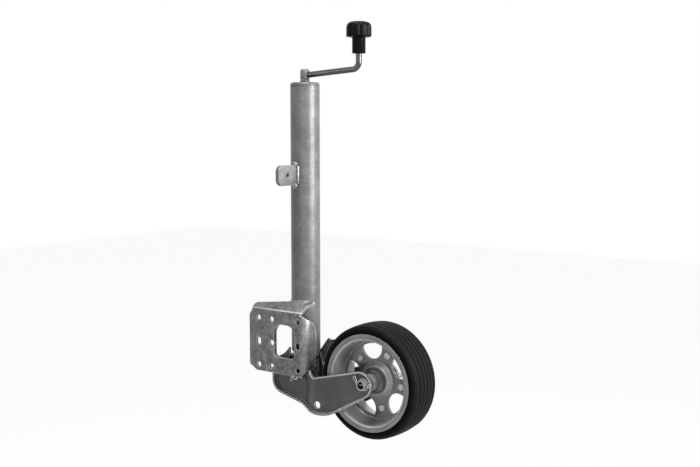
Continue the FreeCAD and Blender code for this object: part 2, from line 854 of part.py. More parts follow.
# The window with its drawn edge, and the bolt holes in three columns
wall = s.collar_wall
collar_drawing = outline(sketch_on(bracket, "XZ_Plane", "window_collar_outline"), rounded_box(
    -s.window_left - wall, s.window_right + wall, -s.window_bottom - wall, s.window_top + wall,
    s.window_corner + wall, s.window_crown + wall))
bracket.Tip = pad(bracket, collar_drawing, s.window_collar, back=True)
doc.recompute()
window_drawing = outline(sketch_on(bracket, "XZ_Plane", "window_outline"), rounded_box(
    -s.window_left, s.window_right, -s.window_bottom, s.window_top,
    s.window_corner, s.window_crown))
bracket.Tip = pocket(bracket, window_drawing, "window")
doc.recompute()
left_column = -s.bolt_spacing_across / 2
columns = [left_column, left_column + s.inner_column, s.bolt_spacing_across / 2]
for column, across in enumerate(columns, start=1):
    for level, up in enumerate((-s.bolt_spacing_up / 2, as_size(0), s.bolt_spacing_up / 2), start=1):
        drawing = sketch_on(bracket, "XZ_Plane", f"bolt_hole_{column}_{level}")
        if level == 2 and column != 2:
            outline(drawing, slot_at(across, up, s.bolt_radius, s.slot_travel))
        else:
            circle(drawing, across, up, s.bolt_radius)
        bracket.Tip = pocket(bracket, drawing, f"bolt_{column}_{level}")
        doc.recompute()

# The top flange slopes up and back from the plate to the tube
roof_left = -s.plate_left + s.shoulder_across
roof_right = flange_face - s.bend_radius + s.trim_margin * 2
roof_end = flange_face + s.roof_overhang
roof_rise = sine(s.roof_angle)
roof_run = cosine(s.roof_angle)
ridge_inside = s.ridge_radius - s.plate_thickness
roof_length = s.roof_depth_right + s.trim_margin
roof_profile = free_sketch("roof_profile", "YZ", roof_left - margin, 0, 0)
outline(roof_profile, [
    (0, ridge_foot),
    (s.plate_thickness, ridge_foot, -ridge_inside),
    (s.ridge_radius - ridge_inside * roof_rise, ridge_foot + ridge_inside * roof_run),
    (roof_length * roof_run + s.plate_thickness * roof_rise,
     s.plate_top + roof_length * roof_rise - s.plate_thickness * roof_run),
    (roof_length * roof_run, s.plate_top + roof_length * roof_rise),
    (s.ridge_radius - s.ridge_radius * roof_rise,
     ridge_foot + s.ridge_radius * roof_run, s.ridge_radius),
])
roof_sheet = extruded("roof_sheet", roof_profile, roof_end - roof_left + margin * 2)
roof_drawing = free_sketch("roof_outline", "XY", 0, 0, s.plate_top)
roof_drawing.Placement = FreeCAD.Placement(
    Vector(0, 0, s.plate_top.number), Rotation(Vector(1, 0, 0), s.roof_angle.number))
bind(roof_drawing, "Placement.Rotation.Angle", s.roof_angle)
outline(roof_drawing, [
    (roof_left, -s.ridge_radius),
    (roof_right, -s.ridge_radius),
    (roof_right, 0, -s.roof_hook),
    (roof_end, s.roof_depth_right - s.plate_thickness),
    (roof_end, s.roof_depth_right),
    (s.tube_across, s.roof_depth_right),
    (s.tube_across - s.tube_radius, s.roof_depth_tube),
    (roof_left + s.roof_left_round, s.roof_depth_left, s.roof_left_round),
    (roof_left, s.roof_depth_left - s.roof_left_round),
])
roof = common("roof_plate", roof_sheet, extruded(
    "roof_shape", roof_drawing, s.ridge_radius, s.ridge_radius))
bracket_tube = rod("tube_bar_bracket", s.tube_radius, s.plate_top * 4, s.tube_across,
                   s.tube_behind, -s.plate_top, "z")
bracket_whole = fused("bracket_and_roof", [bracket, roof])
part(cut("bracket_fitted", bracket_whole, bracket_tube), "mounting_bracket")

# Weld beads: along the side flange's back edge and round the tube above the top flange
flange_weld_low = -s.tube_foot + s.weld_width
flange_weld_high = shoulder_low - s.weld_width
side_bead = cut("side_bead_fitted", rod(
    "side_bead", s.weld_width, flange_weld_high - flange_weld_low,
    s.tube_across + s.tube_radius - s.running_gap, s.flange_back + s.weld_width * 0.5,
    flange_weld_low, "z"), bracket_tube, bracket_whole)
slope = sine(s.roof_angle) / cosine(s.roof_angle)
roof_at_tube = s.plate_top + (s.tube_behind - s.tube_radius) * slope
roof_bead_top = roof_at_tube + s.weld_rise
roof_bead_ring = on_tube("roof_bead_ring", [
    (s.tube_radius, roof_at_tube - s.weld_width),
    (s.tube_radius + s.weld_width, roof_at_tube - s.weld_width),
    (s.tube_radius + s.weld_width * 0.25, roof_bead_top),
    (s.tube_radius, roof_bead_top),
])
roof_bead_reach = doc.addObject("Part::Box", "roof_bead_reach")
bind(roof_bead_reach, "Length", s.weld_reach)
bind(roof_bead_reach, "Width", s.weld_depth)
bind(roof_bead_reach, "Height", s.tube_radius * 2)
place(roof_bead_reach, s.tube_across - s.weld_reach / 2,
      s.tube_behind - s.tube_radius - s.weld_width * 2, roof_at_tube - s.tube_radius)
roof_bead = cut("roof_bead_fitted", common("roof_bead_arc", roof_bead_ring, roof_bead_reach),
                roof, bracket)
under_roof = extruded("under_roof", roof_drawing, 0, s.tube_radius)
roof_bead = cut("roof_bead_upper", roof_bead, under_roof)
part(group("bracket_beads", [side_bead, roof_bead]), "bracket_welds")

# Inner tube with its nut, guide ring, stop ring, buffer and foot block
inner_top = spindle_collar_foot - s.nut_drop
nut_foot = inner_top - s.nut_height
block_top = -s.tube_foot - s.running_gap - s.collar_ring_height - s.buffer_height
pivot_level = -s.pivot_drop
inner_bore = s.inner_radius - s.inner_wall
part(on_tube("inner_bar", ring(
    inner_bore, s.inner_radius, block_top, inner_top)), "inner_tube")
part(on_tube("nut_bar", ring(
    s.spindle_radius + s.slide_gap, inner_bore, nut_foot, inner_top)), "spindle_nut")
part(on_tube("slide_ring_bar", ring(
    s.inner_radius, tube_inside - s.slide_gap, inner_top - s.slide_ring_height * 1.5,
    inner_top - s.slide_ring_height * 0.5)), "slide_ring")
ring_foot = block_top + s.buffer_height
part(on_tube("stop_ring_bar", ring(
    s.inner_radius, s.collar_ring_radius, ring_foot, ring_foot + s.collar_ring_height)),
    "stop_collar")
part(on_tube("buffer_bar", ring(
    s.inner_radius, s.buffer_radius, block_top, ring_foot)), "rubber_buffer")

block_radius = s.head_block_radius
block_front = free_sketch("foot_block_front", "XZ", s.tube_across, s.tube_behind, pivot_level)
outline(block_front, [
    (block_radius, 0),
    (block_radius, s.pivot_drop + block_top),
    (-block_radius, s.pivot_drop + block_top),
    (-block_radius, 0, block_radius),
    (0, -block_radius, block_radius),
])
block_column = rod("foot_block_column", block_radius, block_radius * 3, s.tube_across,
                   s.tube_behind, pivot_level - block_radius * 1.5, "z")
block = common("foot_block", block_column, extruded(
    "foot_block_slab", block_front, block_radius, block_radius))
block_bore = rod("foot_block_bore", s.pin_radius + s.slide_gap, block_radius * 2,
                 s.tube_across, s.tube_behind - block_radius, pivot_level)
part(cut("foot_block_bored", block, block_bore), "fork_head")
# Fork cheeks: pressed sheet with a turned-out lip along the lower edge and a joggle
pivot = (s.tube_across, s.tube_behind, pivot_level)
joggle_slope = (s.arm_inside - s.cheek_inside) / (s.joggle_end - s.joggle_start)
miter = (root(1 + joggle_slope * joggle_slope) - 1) / joggle_slope
reach_left = -s.nose_across - s.nose_radius * 1.5
reach_right = s.axle_reach + s.arm_end_radius * 1.5
arm_centre = (s.axle_reach - s.arm_end_inset, s.axle_rise - s.arm_end_drop)


slope_run = 1 / root(1 + joggle_slope * joggle_slope)
slope_fall = joggle_slope * slope_run


def joggled_line(depth):
    """The cheek's plan line at a depth from its inner face, left to right, with both bends."""
    shift = (s.sheet - depth) * miter
    first = (s.joggle_start + shift, -(s.cheek_inside + depth))
    second = (s.joggle_end + shift, -(s.arm_inside + depth))
    hollow = s.joggle_hollow - depth
    convex = s.joggle_round + depth
    near, away = hollow * miter, convex * miter
    return [
        (reach_left, first[1]),
        (first[0] - near, first[1], -hollow),
        (first[0] + near * slope_run, first[1] - near * slope_fall),
        (second[0] - away * slope_run, second[1] + away * slope_fall, convex),
        (second[0] + away, second[1]),
        (reach_right, second[1]),
    ]


def backwards(line):
    """The same line from right to left; each bend turns the other way."""
    turned_back = [corner[:2] for corner in reversed(line)]
    for index, corner in enumerate(line):
        if len(corner) == 3:
            spot = len(line) - 2 - index
            turned_back[spot] = turned_back[spot] + (-corner[2],)
    return turned_back


def joggled_band(name, inner, outer=None):
    """Plan view of a band that follows the joggle, out to a second depth or to far outside."""
    if outer is None:
        reach = s.arm_inside * 2
        far_side = [(reach_left, -reach), (reach_right, -reach)]
    else:
        far_side = joggled_line(outer)
    drawing = free_sketch(f"{name}_plan", "XY", *pivot)
    outline(drawing, backwards(joggled_line(inner)) + far_side)
    return extruded(name, drawing, s.nose_radius * 4, s.nose_radius * 4)


def on_arc(centre, radius, angle):
    return centre[0] + radius * cosine(angle), centre[1] + radius * sine(angle)


nose = (-s.nose_across, -s.nose_drop)
keel_start = on_arc(nose, s.nose_radius, -90 - s.keel_slope)
keel_tangent = sine(s.keel_slope) / cosine(s.keel_slope)


def keel_level(across, lift=0):
    """Height of the keel's edge, or of a line lift above it."""
    return keel_start[1] - (across - keel_start[0]) * keel_tangent + lift / cosine(s.keel_slope)


belly = (s.belly_start + s.belly_radius * sine(s.keel_slope),
         keel_level(s.belly_start) + s.belly_radius * cosine(s.keel_slope))
saddle_level = s.pivot_drop - s.tube_foot - s.saddle_drop
cheek_drawing = free_sketch("cheek_outline", "XZ", *pivot)
outline(cheek_drawing, [
    (-s.nose_across - s.nose_radius, -s.nose_drop, s.nose_radius),
    keel_start,
    (s.belly_start, keel_level(s.belly_start), s.belly_radius),
    on_arc(belly, s.belly_radius, s.arm_slope - 90),
    on_arc(arm_centre, s.arm_end_radius, s.arm_slope - 90) + (s.arm_end_radius,),
    on_arc(arm_centre, s.arm_end_radius, 0) + (s.arm_end_radius,),
    on_arc(arm_centre, s.arm_end_radius, 90 + s.arm_top_turn),
    (s.dip_across, s.dip_rise, -s.nose_radius),
    (s.crest_across, s.crest_rise),
    (s.knee_across, s.knee_rise),
    (s.saddle_right * 2, s.knee_rise),
    (s.saddle_right, saddle_level),
    (-s.saddle_left, saddle_level),
    (-s.saddle_left, s.peak_rise),
    (-s.peak_across, s.peak_rise, -s.brow_radius),
    (-s.brow_across, s.brow_rise),
    (-s.nose_across - s.nose_radius, s.nose_rise),
])
inner_nose = s.nose_radius - s.sheet
inner_belly = s.belly_radius - s.sheet
recess_drawing = free_sketch("cheek_recess", "XZ", *pivot)
lip_stop = on_arc(belly, inner_belly, s.arm_slope - 90)
edge_inset = s.rim_line_width
arm_hollow = s.arm_end_radius - edge_inset
arm_top = on_arc(arm_centre, arm_hollow, 90 + s.arm_top_turn)
dip_inset = (s.dip_across + edge_inset * sine(s.arm_top_turn),
             s.dip_rise - edge_inset * cosine(s.arm_top_turn))
outline(recess_drawing, [
    (-s.nose_across - inner_nose, -s.nose_drop, inner_nose),
    on_arc(nose, inner_nose, -90 - s.keel_slope),
    (s.belly_start - s.sheet * sine(s.keel_slope), keel_level(s.belly_start) + s.sheet
     * cosine(s.keel_slope), inner_belly),
    lip_stop,
    on_arc(arm_centre, arm_hollow, s.arm_slope - 90) + (arm_hollow,),
    on_arc(arm_centre, arm_hollow, 0) + (arm_hollow,),
    arm_top,
    dip_inset,
    (s.crest_across, s.crest_rise - s.sheet * 2),
    (s.crest_across, s.peak_rise * 1.5),
    (reach_left, s.peak_rise * 1.5),
    (reach_left, s.nose_rise),
    (-s.nose_across - inner_nose, s.nose_rise),
])
# Beyond the end of the lip, and along the arm's top, only a low raised edge is left
low_edge = free_sketch("low_edge_outline", "XZ", *pivot)
outline(low_edge, [
    (s.lip_end, belly[1] - s.belly_radius),
    (reach_right, belly[1] - s.belly_radius),
    (reach_right, s.peak_rise),
    (s.joggle_start, s.peak_rise),
    (s.joggle_start, 0),
    (s.lip_end - s.sheet * 3, -s.nose_drop),
])
cheek_blank = common("cheek_blank", joggled_band("cheek_band", 0, s.sheet + s.lip_height),
                     extruded("cheek_shape", cheek_drawing, s.arm_inside * 2))
cheek_hollow = common("cheek_hollow", joggled_band("hollow_band", s.sheet),
                      extruded("hollow_shape", recess_drawing, s.arm_inside * 2))
edge_trim = common("edge_trim", joggled_band("edge_band", s.sheet + s.rim_line_height),
                   extruded("edge_shape", low_edge, s.arm_inside * 2))


def cross_bar(name, radius, across, up):
    """A bar across the fork, parallel to the axle, for a hole in both cheeks."""
    return rod(name, radius, s.arm_inside * 4, s.tube_across + across,
               s.tube_behind - s.arm_inside * 2, pivot_level + up)


near_cheek = cut(
    "cheek_near_cut", cheek_blank, cheek_hollow, edge_trim,
    cross_bar("pivot_bar", s.pin_radius, as_size(0), as_size(0)),
    cross_bar("axle_bar", s.axle_radius, s.axle_reach, s.axle_rise),
    cross_bar("drain_bar", s.drain_radius, s.drain_across, -s.drain_drop),
    cross_bar("plug_bar", s.plug_radius, -s.plug_across, s.plug_rise))
part(near_cheek, "fork_cheek_near")
part(mirrored("cheek_far_mirror", near_cheek), "fork_cheek_far")

# A rubber plug fills the upper hole of each cheek
near_plug = rod("cheek_plug", s.plug_radius, s.sheet + s.plug_proud, s.tube_across - s.plug_across,
                s.tube_behind - s.cheek_inside - s.sheet - s.plug_proud,
                pivot_level + s.plug_rise)
part(group("plug_pair", [near_plug, mirrored("cheek_plug_far", near_plug)]), "cheek_plugs")

# A cross plate above the keel joins the cheeks
web_drawing = free_sketch("web_outline", "XZ", *pivot)
outline(web_drawing, [
    (-s.web_start, keel_level(-s.web_start, s.web_lift)),
    (s.web_end, keel_level(s.web_end, s.web_lift)),
    (s.web_end, keel_level(s.web_end, s.web_lift + s.sheet)),
    (-s.web_start, keel_level(-s.web_start, s.web_lift + s.sheet)),
])
part(extruded("web_plate", web_drawing, s.cheek_inside, s.cheek_inside), "fork_web")

# The stop plate stands up beside the tube, on the far cheek
stop_drawing = free_sketch("stop_outline", "XZ", *pivot)
stop_root = s.joggle_start - (s.joggle_hollow - s.sheet) * miter - s.running_gap
stop_end = s.axle_reach - s.tyre_radius - s.stop_gap
outline(stop_drawing, [
    (-s.stop_foot / 2, s.stop_foot),
    (stop_root, s.stop_foot),
    (stop_root, s.crest_rise + s.sheet / 2),
    (stop_end, s.crest_rise + s.sheet / 2),
    (stop_end, s.stop_tip_rise - s.stop_notch_depth * 2),
    (s.stop_tip_across + s.stop_notch * 2, s.stop_tip_rise - s.stop_notch_depth / 2),
    (s.stop_tip_across + s.stop_notch, s.stop_tip_rise - s.stop_notch_depth),
    (s.stop_tip_across, s.stop_tip_rise),
    (s.saddle_right, saddle_level),
    (-s.stop_foot / 2, saddle_level - s.stop_foot),
])
stop = extruded("stop_shape", stop_drawing, 0, s.sheet)
place(stop, 0, s.cheek_inside + s.sheet, 0)
part(stop, "stop_plate")


# Pins, washers and split pins
def hollow_pin(name, radius, bore, end, across, up):
    """A tube across the fork, from end to end."""
    start = s.tube_behind - end
    solid = rod(f"{name}_solid", radius, end * 2, across, start, up)
    hole = rod(f"{name}_bore", bore, end * 2, across, start, up)
    return cut(f"{name}_hollow", solid, hole)


def both_sides(name, near):
    """A piece and its mirror image, in one node."""
    return group(name, [near, mirrored(f"{name}_far", near)])


def washer(name, bore, radius, height, inner_face, across, up):
    """A near-side washer whose inner face is that far from the middle plane."""
    start = s.tube_behind - inner_face - height
    disc = rod(f"{name}_disc", radius, height, across, start, up)
    hole = rod(f"{name}_hole", bore, height, across, start, up)
    return cut(f"{name}_ring", disc, hole)


def split_pin(name, pin_radius, middle, across, up):
    """A near-side split pin that lies crosswise through a hollow pin, with its eye."""
    leg = rod(f"{name}_leg", s.cotter_radius, pin_radius * 2 + s.cotter_radius * 4,
              across - pin_radius - s.cotter_radius * 3, s.tube_behind - middle, up, "x")
    eye = doc.addObject("Part::Torus", f"{name}_eye")
    bind(eye, "Radius1", s.cotter_radius * 2)
    bind(eye, "Radius2", s.cotter_radius * 0.8)
    place(eye, across + pin_radius + s.cotter_radius * 3, s.tube_behind - middle, up,
          Rotation(Vector(1, 0, 0), 90))
    return fused(f"{name}_whole", [leg, eye])


pivot_x = s.tube_across
axle_x = s.tube_across + s.axle_reach
axle_z = -AXLE_DROP
cheek_outside = s.cheek_inside + s.sheet
arm_outside = s.arm_inside + s.sheet
pin_cotter_depth = cheek_outside + s.washer_height + s.cotter_radius + s.running_gap
axle_cotter_depth = arm_outside + s.washer_height + s.cotter_radius * 2
pivot_cotters = both_sides("pivot_cotter_pair", split_pin(
    "pivot_cotter", s.pin_radius, pin_cotter_depth, pivot_x, pivot_level))
axle_cotters = both_sides("axle_cotter_pair", split_pin(
    "axle_cotter", s.axle_radius, axle_cotter_depth, axle_x, axle_z))
part(cut("pivot_pin_drilled", hollow_pin(
    "pivot_pin", s.pin_radius, s.pin_bore, s.pin_end, pivot_x, pivot_level),
    pivot_cotters), "fork_pivot_pin")
part(cut("axle_drilled", hollow_pin(
    "axle", s.axle_radius, s.axle_radius - s.axle_wall, s.axle_end, axle_x, axle_z),
    axle_cotters), "axle_tube")
part(pivot_cotters, "pivot_split_pins")
part(axle_cotters, "axle_split_pins")
part(both_sides("pivot_washer_pair", washer(
    "pivot_washer", s.pin_radius, s.pin_washer_radius, s.washer_height, cheek_outside,
    pivot_x, pivot_level)), "pivot_washers")
part(both_sides("axle_washer_pair", washer(
    "axle_washer", s.axle_radius, s.axle_washer_radius, s.washer_height, arm_outside,
    axle_x, axle_z)), "axle_washers")
bush_end = s.hub_half_length + s.bush_flange
spacer_length = s.arm_inside - bush_end - s.running_gap
part(both_sides("spacer_pair", washer(
    "spacer", s.axle_radius, s.spacer_radius, spacer_length, s.arm_inside - spacer_length,
    axle_x, axle_z)), "hub_spacers")

# Wheel hub: a tube with a flanged plastic bush in each end
hub_bore = s.hub_radius - s.hub_wall
axle_fit = s.axle_radius + s.slide_gap
part(on_axle("hub_bar", [
    (hub_bore, -s.hub_half_length),
    (s.hub_radius, -s.hub_half_length),
    (s.hub_radius, -s.hub_step_half),
    (s.hub_step_radius, -s.hub_step_half),
    (s.hub_step_radius, s.hub_step_half),
    (s.hub_radius, s.hub_step_half),
    (s.hub_radius, s.hub_half_length),
    (hub_bore, s.hub_half_length),
]), "hub_tube")
bush = on_axle("bush_near", [
    (axle_fit, -bush_end),
    (s.bush_flange_radius, -bush_end),
    (s.bush_flange_radius, -s.hub_half_length),
    (hub_bore, -s.hub_half_length),
    (hub_bore, s.bush_length - s.hub_half_length),
    (axle_fit, s.bush_length - s.hub_half_length),
])
part(both_sides("bush_pair", bush), "hub_bushes")

# Rim: two pressed halves, back to back, with five windows between five rivets
sheet = s.rim_sheet
rim_edge = s.tyre_half_width
rim_foot = -rim_edge + sheet * 2
rim = on_axle("rim_near", [
    (s.hub_step_radius, -s.cone_rise),
    (s.hub_step_radius, -s.cone_rise - sheet),
    (s.cone_inner_radius, -s.cone_rise - sheet),
    (s.cone_outer_radius, -sheet),
    (s.rim_drop_radius - sheet, -sheet, -sheet),
    (s.rim_drop_radius, -sheet * 2),
    (s.rim_bed_radius, rim_foot, sheet * 2),
    (s.rim_bed_radius + sheet * 2, -rim_edge),
    (s.rim_edge_radius, -rim_edge),
    (s.rim_edge_radius, -rim_edge + sheet),
    (s.rim_bed_radius + sheet * 2, -rim_edge + sheet, -sheet),
    (s.rim_bed_radius + sheet, rim_foot),
    (s.rim_drop_radius + sheet, -sheet * 2, sheet * 2),
    (s.rim_drop_radius - sheet, 0),
    (s.cone_outer_radius + sheet / 2, 0),
    (s.cone_inner_radius + sheet / 2, -s.cone_rise),
])
doc.recompute()


def turned_spot(across, up, angle):
    """A point turned about the axle by an angle."""
    return (across * cosine(angle) - up * sine(angle), across * sine(angle) + up * cosine(angle))


end_round = s.window_end_round
reach_out = s.window_limit - end_round
reach_in = s.window_round - end_round
end_across = (reach_out * reach_out + s.window_circle * s.window_circle
              - reach_in * reach_in) / (2 * s.window_circle)
end_up = root(reach_out * reach_out - end_across * end_across)
limit_share = s.window_limit / reach_out
round_share = s.window_round / reach_in
limit_spot = (end_across * limit_share, end_up * limit_share)
round_spot = (s.window_circle + (end_across - s.window_circle) * round_share,
              end_up * round_share)
phase = s.window_phase
window = outline(sketch_on(rim, "XZ_Plane", "rim_window"), [
    turned_spot(limit_spot[0], -limit_spot[1], phase) + (s.window_limit,),
    turned_spot(*limit_spot, phase) + (end_round,),
    turned_spot(*round_spot, phase) + (s.window_round,),
    turned_spot(s.window_circle - s.window_round, as_size(0), phase) + (s.window_round,),
    turned_spot(round_spot[0], -round_spot[1], phase) + (end_round,),
])
window_cut = pocket(rim, window, "window")
rim.Tip = window_cut
rivet_spot = turned_spot(s.rivet_circle, as_size(0), s.rivet_phase)
rivet_hole = circle(sketch_on(rim, "XZ_Plane", "rim_rivet_hole"), *rivet_spot, s.rivet_shank)
rivet_cut = pocket(rim, rivet_hole, "rivet")
rim.Tip = rivet_cut
rim_ring = rim.newObject("PartDesign::PolarPattern", "rim_ring")
rim_ring.Originals = [window_cut, rivet_cut]
rim_ring.Axis = (window, ["N_Axis"])
bind(rim_ring, "Occurrences", s.rivet_count)
rim.Tip = rim_ring
part(rim, "rim_half_near")
part(mirrored("rim_far", rim), "rim_half_far")

rivets = []
for number in range(int(s.rivet_count.number)):
    angle = s.rivet_phase + 360 * number / s.rivet_count
    spot_x = axle_x + s.rivet_circle * cosine(angle)
    spot_z = axle_z + s.rivet_circle * sine(angle)
    pieces = [rod(f"rivet_shank_{number + 1}", s.rivet_shank, sheet * 2, spot_x,
                  s.tube_behind - sheet, spot_z)]
    for side, turn in ((-1, 90), (1, -90)):
        dome = doc.addObject("Part::Cone", f"rivet_head_{number + 1}_{side + 2}")
        bind(dome, "Radius1", s.rivet_radius)
        bind(dome, "Radius2", s.rivet_face_radius)
        bind(dome, "Height", s.rivet_rise)
        place(dome, spot_x, s.tube_behind + side * sheet, spot_z,
              Rotation(Vector(1, 0, 0), turn))
        pieces.append(dome)
    rivets.append(fused(f"rivet_{number + 1}", pieces))
part(group("rivet_ring", rivets), "rim_rivets")


# Tyre: solid rubber with grooves round its tread
def crown(depth):
    """Radius of the tread at a distance from the middle plane."""
    share = depth / s.tread_half_width
    return s.tyre_radius - s.groove_depth * 0.6 * share * share


tread = []
groove_half = s.groove_width / 2
for step in (-2, -1, 0, 1, 2):
    place_y = s.groove_pitch * step
    for side in (-1, 1):
        edge = place_y + groove_half * side
        high = (crown(edge), edge)
        low = (crown(edge) - s.groove_depth, edge)
        tread += [high, low] if side < 0 else [low, high]
bead_seat = s.rim_bed_radius + sheet + s.running_gap
flange_seat = s.rim_edge_radius + s.running_gap
inner_width = s.tyre_half_width - sheet - s.running_gap
tyre_half = [
    (bead_seat, -inner_width + sheet * 1.5),
    (bead_seat + sheet * 1.5, -inner_width),
    (flange_seat, -inner_width),
    (flange_seat, -s.tyre_half_width),
]
tread_edge = (crown(s.tread_half_width), s.tread_half_width)
near_shoulder = [(s.shoulder_radius, -s.tyre_half_width, s.shoulder_round),
                 (tread_edge[0], -tread_edge[1])]
far_shoulder = [tread_edge + (s.shoulder_round,), (s.shoulder_radius, s.tyre_half_width)]
tyre_far = [(r, -y) for r, y in reversed(tyre_half)]
part(on_axle("tyre_solid", tyre_half + near_shoulder + tread + far_shoulder + tyre_far), "tyre")

# Every feature has to be sound before a file is written
doc.recompute()
for thing in doc.Objects:
    if "Invalid" in thing.State or "Error" in thing.State:
        raise RuntimeError(f"{thing.Name} did not build: {thing.State}")
for thing in PARTS:
    if thing.Shape.isNull() or not thing.Shape.isValid():
        raise RuntimeError(f"{thing.Label} has no valid shape")
os.makedirs("parts", exist_ok=True)
for thing in PARTS:
    thing.Shape.exportStep(f"parts/{thing.Label}.step")
    print(thing.Label, len(thing.Shape.Solids), round(thing.Shape.Volume))
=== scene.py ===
# %% [markdown]
# # A jockey wheel, dressed for its picture
# The imported model gives every piece its true size and place. This lesson adds what the eye looks
# for: rounded edges, mottled zinc, a finish for the weld beads, bent split pins and soft studio
# light.

# %% Load the model
import json
import math

import bmesh
import bpy
from mathutils import Matrix, Vector


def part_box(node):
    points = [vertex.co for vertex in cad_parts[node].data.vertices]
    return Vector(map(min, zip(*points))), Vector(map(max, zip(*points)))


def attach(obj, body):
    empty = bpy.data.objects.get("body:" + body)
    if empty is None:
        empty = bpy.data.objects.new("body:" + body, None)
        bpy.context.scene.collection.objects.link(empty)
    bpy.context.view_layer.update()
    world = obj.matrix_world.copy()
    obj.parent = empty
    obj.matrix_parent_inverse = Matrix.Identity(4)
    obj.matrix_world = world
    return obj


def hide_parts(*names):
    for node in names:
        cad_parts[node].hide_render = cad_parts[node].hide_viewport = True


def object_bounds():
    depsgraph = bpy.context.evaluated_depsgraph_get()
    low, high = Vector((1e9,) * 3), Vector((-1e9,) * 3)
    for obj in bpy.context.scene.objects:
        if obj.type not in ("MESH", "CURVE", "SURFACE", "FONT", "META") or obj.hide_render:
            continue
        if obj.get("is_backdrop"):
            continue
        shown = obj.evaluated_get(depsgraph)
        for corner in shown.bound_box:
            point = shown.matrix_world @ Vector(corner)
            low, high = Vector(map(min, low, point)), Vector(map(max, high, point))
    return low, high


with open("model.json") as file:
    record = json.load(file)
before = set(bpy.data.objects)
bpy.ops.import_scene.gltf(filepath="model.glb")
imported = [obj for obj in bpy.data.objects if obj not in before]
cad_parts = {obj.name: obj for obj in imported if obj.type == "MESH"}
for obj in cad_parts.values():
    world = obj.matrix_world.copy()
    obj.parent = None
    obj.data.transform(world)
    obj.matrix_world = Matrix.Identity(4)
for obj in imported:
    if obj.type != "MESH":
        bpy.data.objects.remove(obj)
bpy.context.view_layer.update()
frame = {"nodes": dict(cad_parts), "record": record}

nodes = frame["nodes"]
body_of_node = {node: body for body, names in frame["record"]["behaviour"]["bodies"].items()
                for node in names}

# %% [markdown]
# ## Sizes that the pieces share
# The model's boxes give most places. The few that a box can't tell, such as the pivot and the
# axle, are worked out here from the boxes of the round pieces that lie on them.


# %% Read the main places from the model
def middle_of(node):
    low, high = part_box(node)
    return (low + high) / 2


tube_axis = middle_of("outer_tube")
pivot = middle_of("fork_pivot_pin")
axle = middle_of("axle_tube")
knob_axis = middle_of("knob_grip")
MM = 0.001
print("pivot", [round(v, 4) for v in pivot], "axle", [round(v, 4) for v in axle])

# %% [markdown]
# ## Where the ground is
# This wheel hangs on a drawbar, folded up and clear of the ground. Wound down, the inner leg
# slides out, the fork swings upright and the tyre reaches the ground. The floor lies there, so
# that it hides nothing at any pose.

# %% Work out the ground from the joints
joint = {row["name"]: row for row in frame["record"]["behaviour"]["joints"]}
leg_drop = joint["leg_slide"]["range_m"][1]
fold = math.radians(joint["fork_fold"]["range_deg"][1])
arm = axle - pivot
tyre_low, tyre_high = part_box("tyre")
lowest_axle = pivot.z - leg_drop - arm.x * math.sin(fold) + arm.z * math.cos(fold)
ground_gap = 1 * MM
floor_level = lowest_axle - (tyre_high.x - tyre_low.x) / 2 - ground_gap
print("ground at", round(floor_level, 4), "leg drop", leg_drop)

# %% [markdown]
# ## The floor and the background
# The floor is a plain pale sheet that takes the object's shadow. A camera ray that meets it sees
# mostly white, so that it runs into the white background, while the light that it throws back
# on the object stays low. The world does the same with Light Path.


# %% Build the floor
def new_material(name):
    material = bpy.data.materials.new(name)
    material.use_nodes = True
    tree = material.node_tree
    tree.nodes.clear()
    return material, tree


def add(tree, kind, **settings):
    node = tree.nodes.new(kind)
    for key, value in settings.items():
        setattr(node, key, value)
    return node


def chain(tree, *pairs):
    """Link each pair of sockets, from the source to the target."""
    for source, target in pairs:
        tree.links.new(source, target)


def from_bmesh(work, name, angle=None):
    """An object at the origin; angle is where its shading breaks, in degrees."""
    mesh = bpy.data.meshes.new(name)
    work.to_mesh(mesh)
    work.free()
    for face in mesh.polygons:
        face.use_smooth = True
    if angle is not None:
        mesh.set_sharp_from_angle(angle=math.radians(angle))
    piece = bpy.data.objects.new(name, mesh)
    bpy.context.scene.collection.objects.link(piece)
    return piece


floor_size = 6.0
floor_whiteness = 0.95
PAPER = (0.9, 0.9, 0.9, 1)
work = bmesh.new()
bmesh.ops.create_grid(work, x_segments=1, y_segments=1, size=floor_size,
                      matrix=Matrix.Translation((tube_axis.x, tube_axis.y, floor_level)))
floor = from_bmesh(work, "studio_floor")
floor_paint, tree = new_material("floor_paper")
paper = add(tree, "ShaderNodeBsdfDiffuse")
paper.inputs["Color"].default_value = PAPER
white = add(tree, "ShaderNodeEmission")
path = add(tree, "ShaderNodeLightPath")
see = add(tree, "ShaderNodeMath", operation="MAXIMUM")
show = add(tree, "ShaderNodeMath", operation="MULTIPLY")
show.inputs[1].default_value = floor_whiteness
mix = add(tree, "ShaderNodeMixShader")
out = add(tree, "ShaderNodeOutputMaterial")
chain(tree,
      (path.outputs["Is Camera Ray"], see.inputs[0]),
      (path.outputs["Is Glossy Ray"], see.inputs[1]),
      (see.outputs[0], show.inputs[0]),
      (show.outputs[0], mix.inputs["Fac"]),
      (paper.outputs[0], mix.inputs[1]),
      (white.outputs[0], mix.inputs[2]),
      (mix.outputs[0], out.inputs["Surface"]))
floor.data.materials.append(floor_paint)
floor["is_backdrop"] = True
print("floor at", round(floor_level, 4))

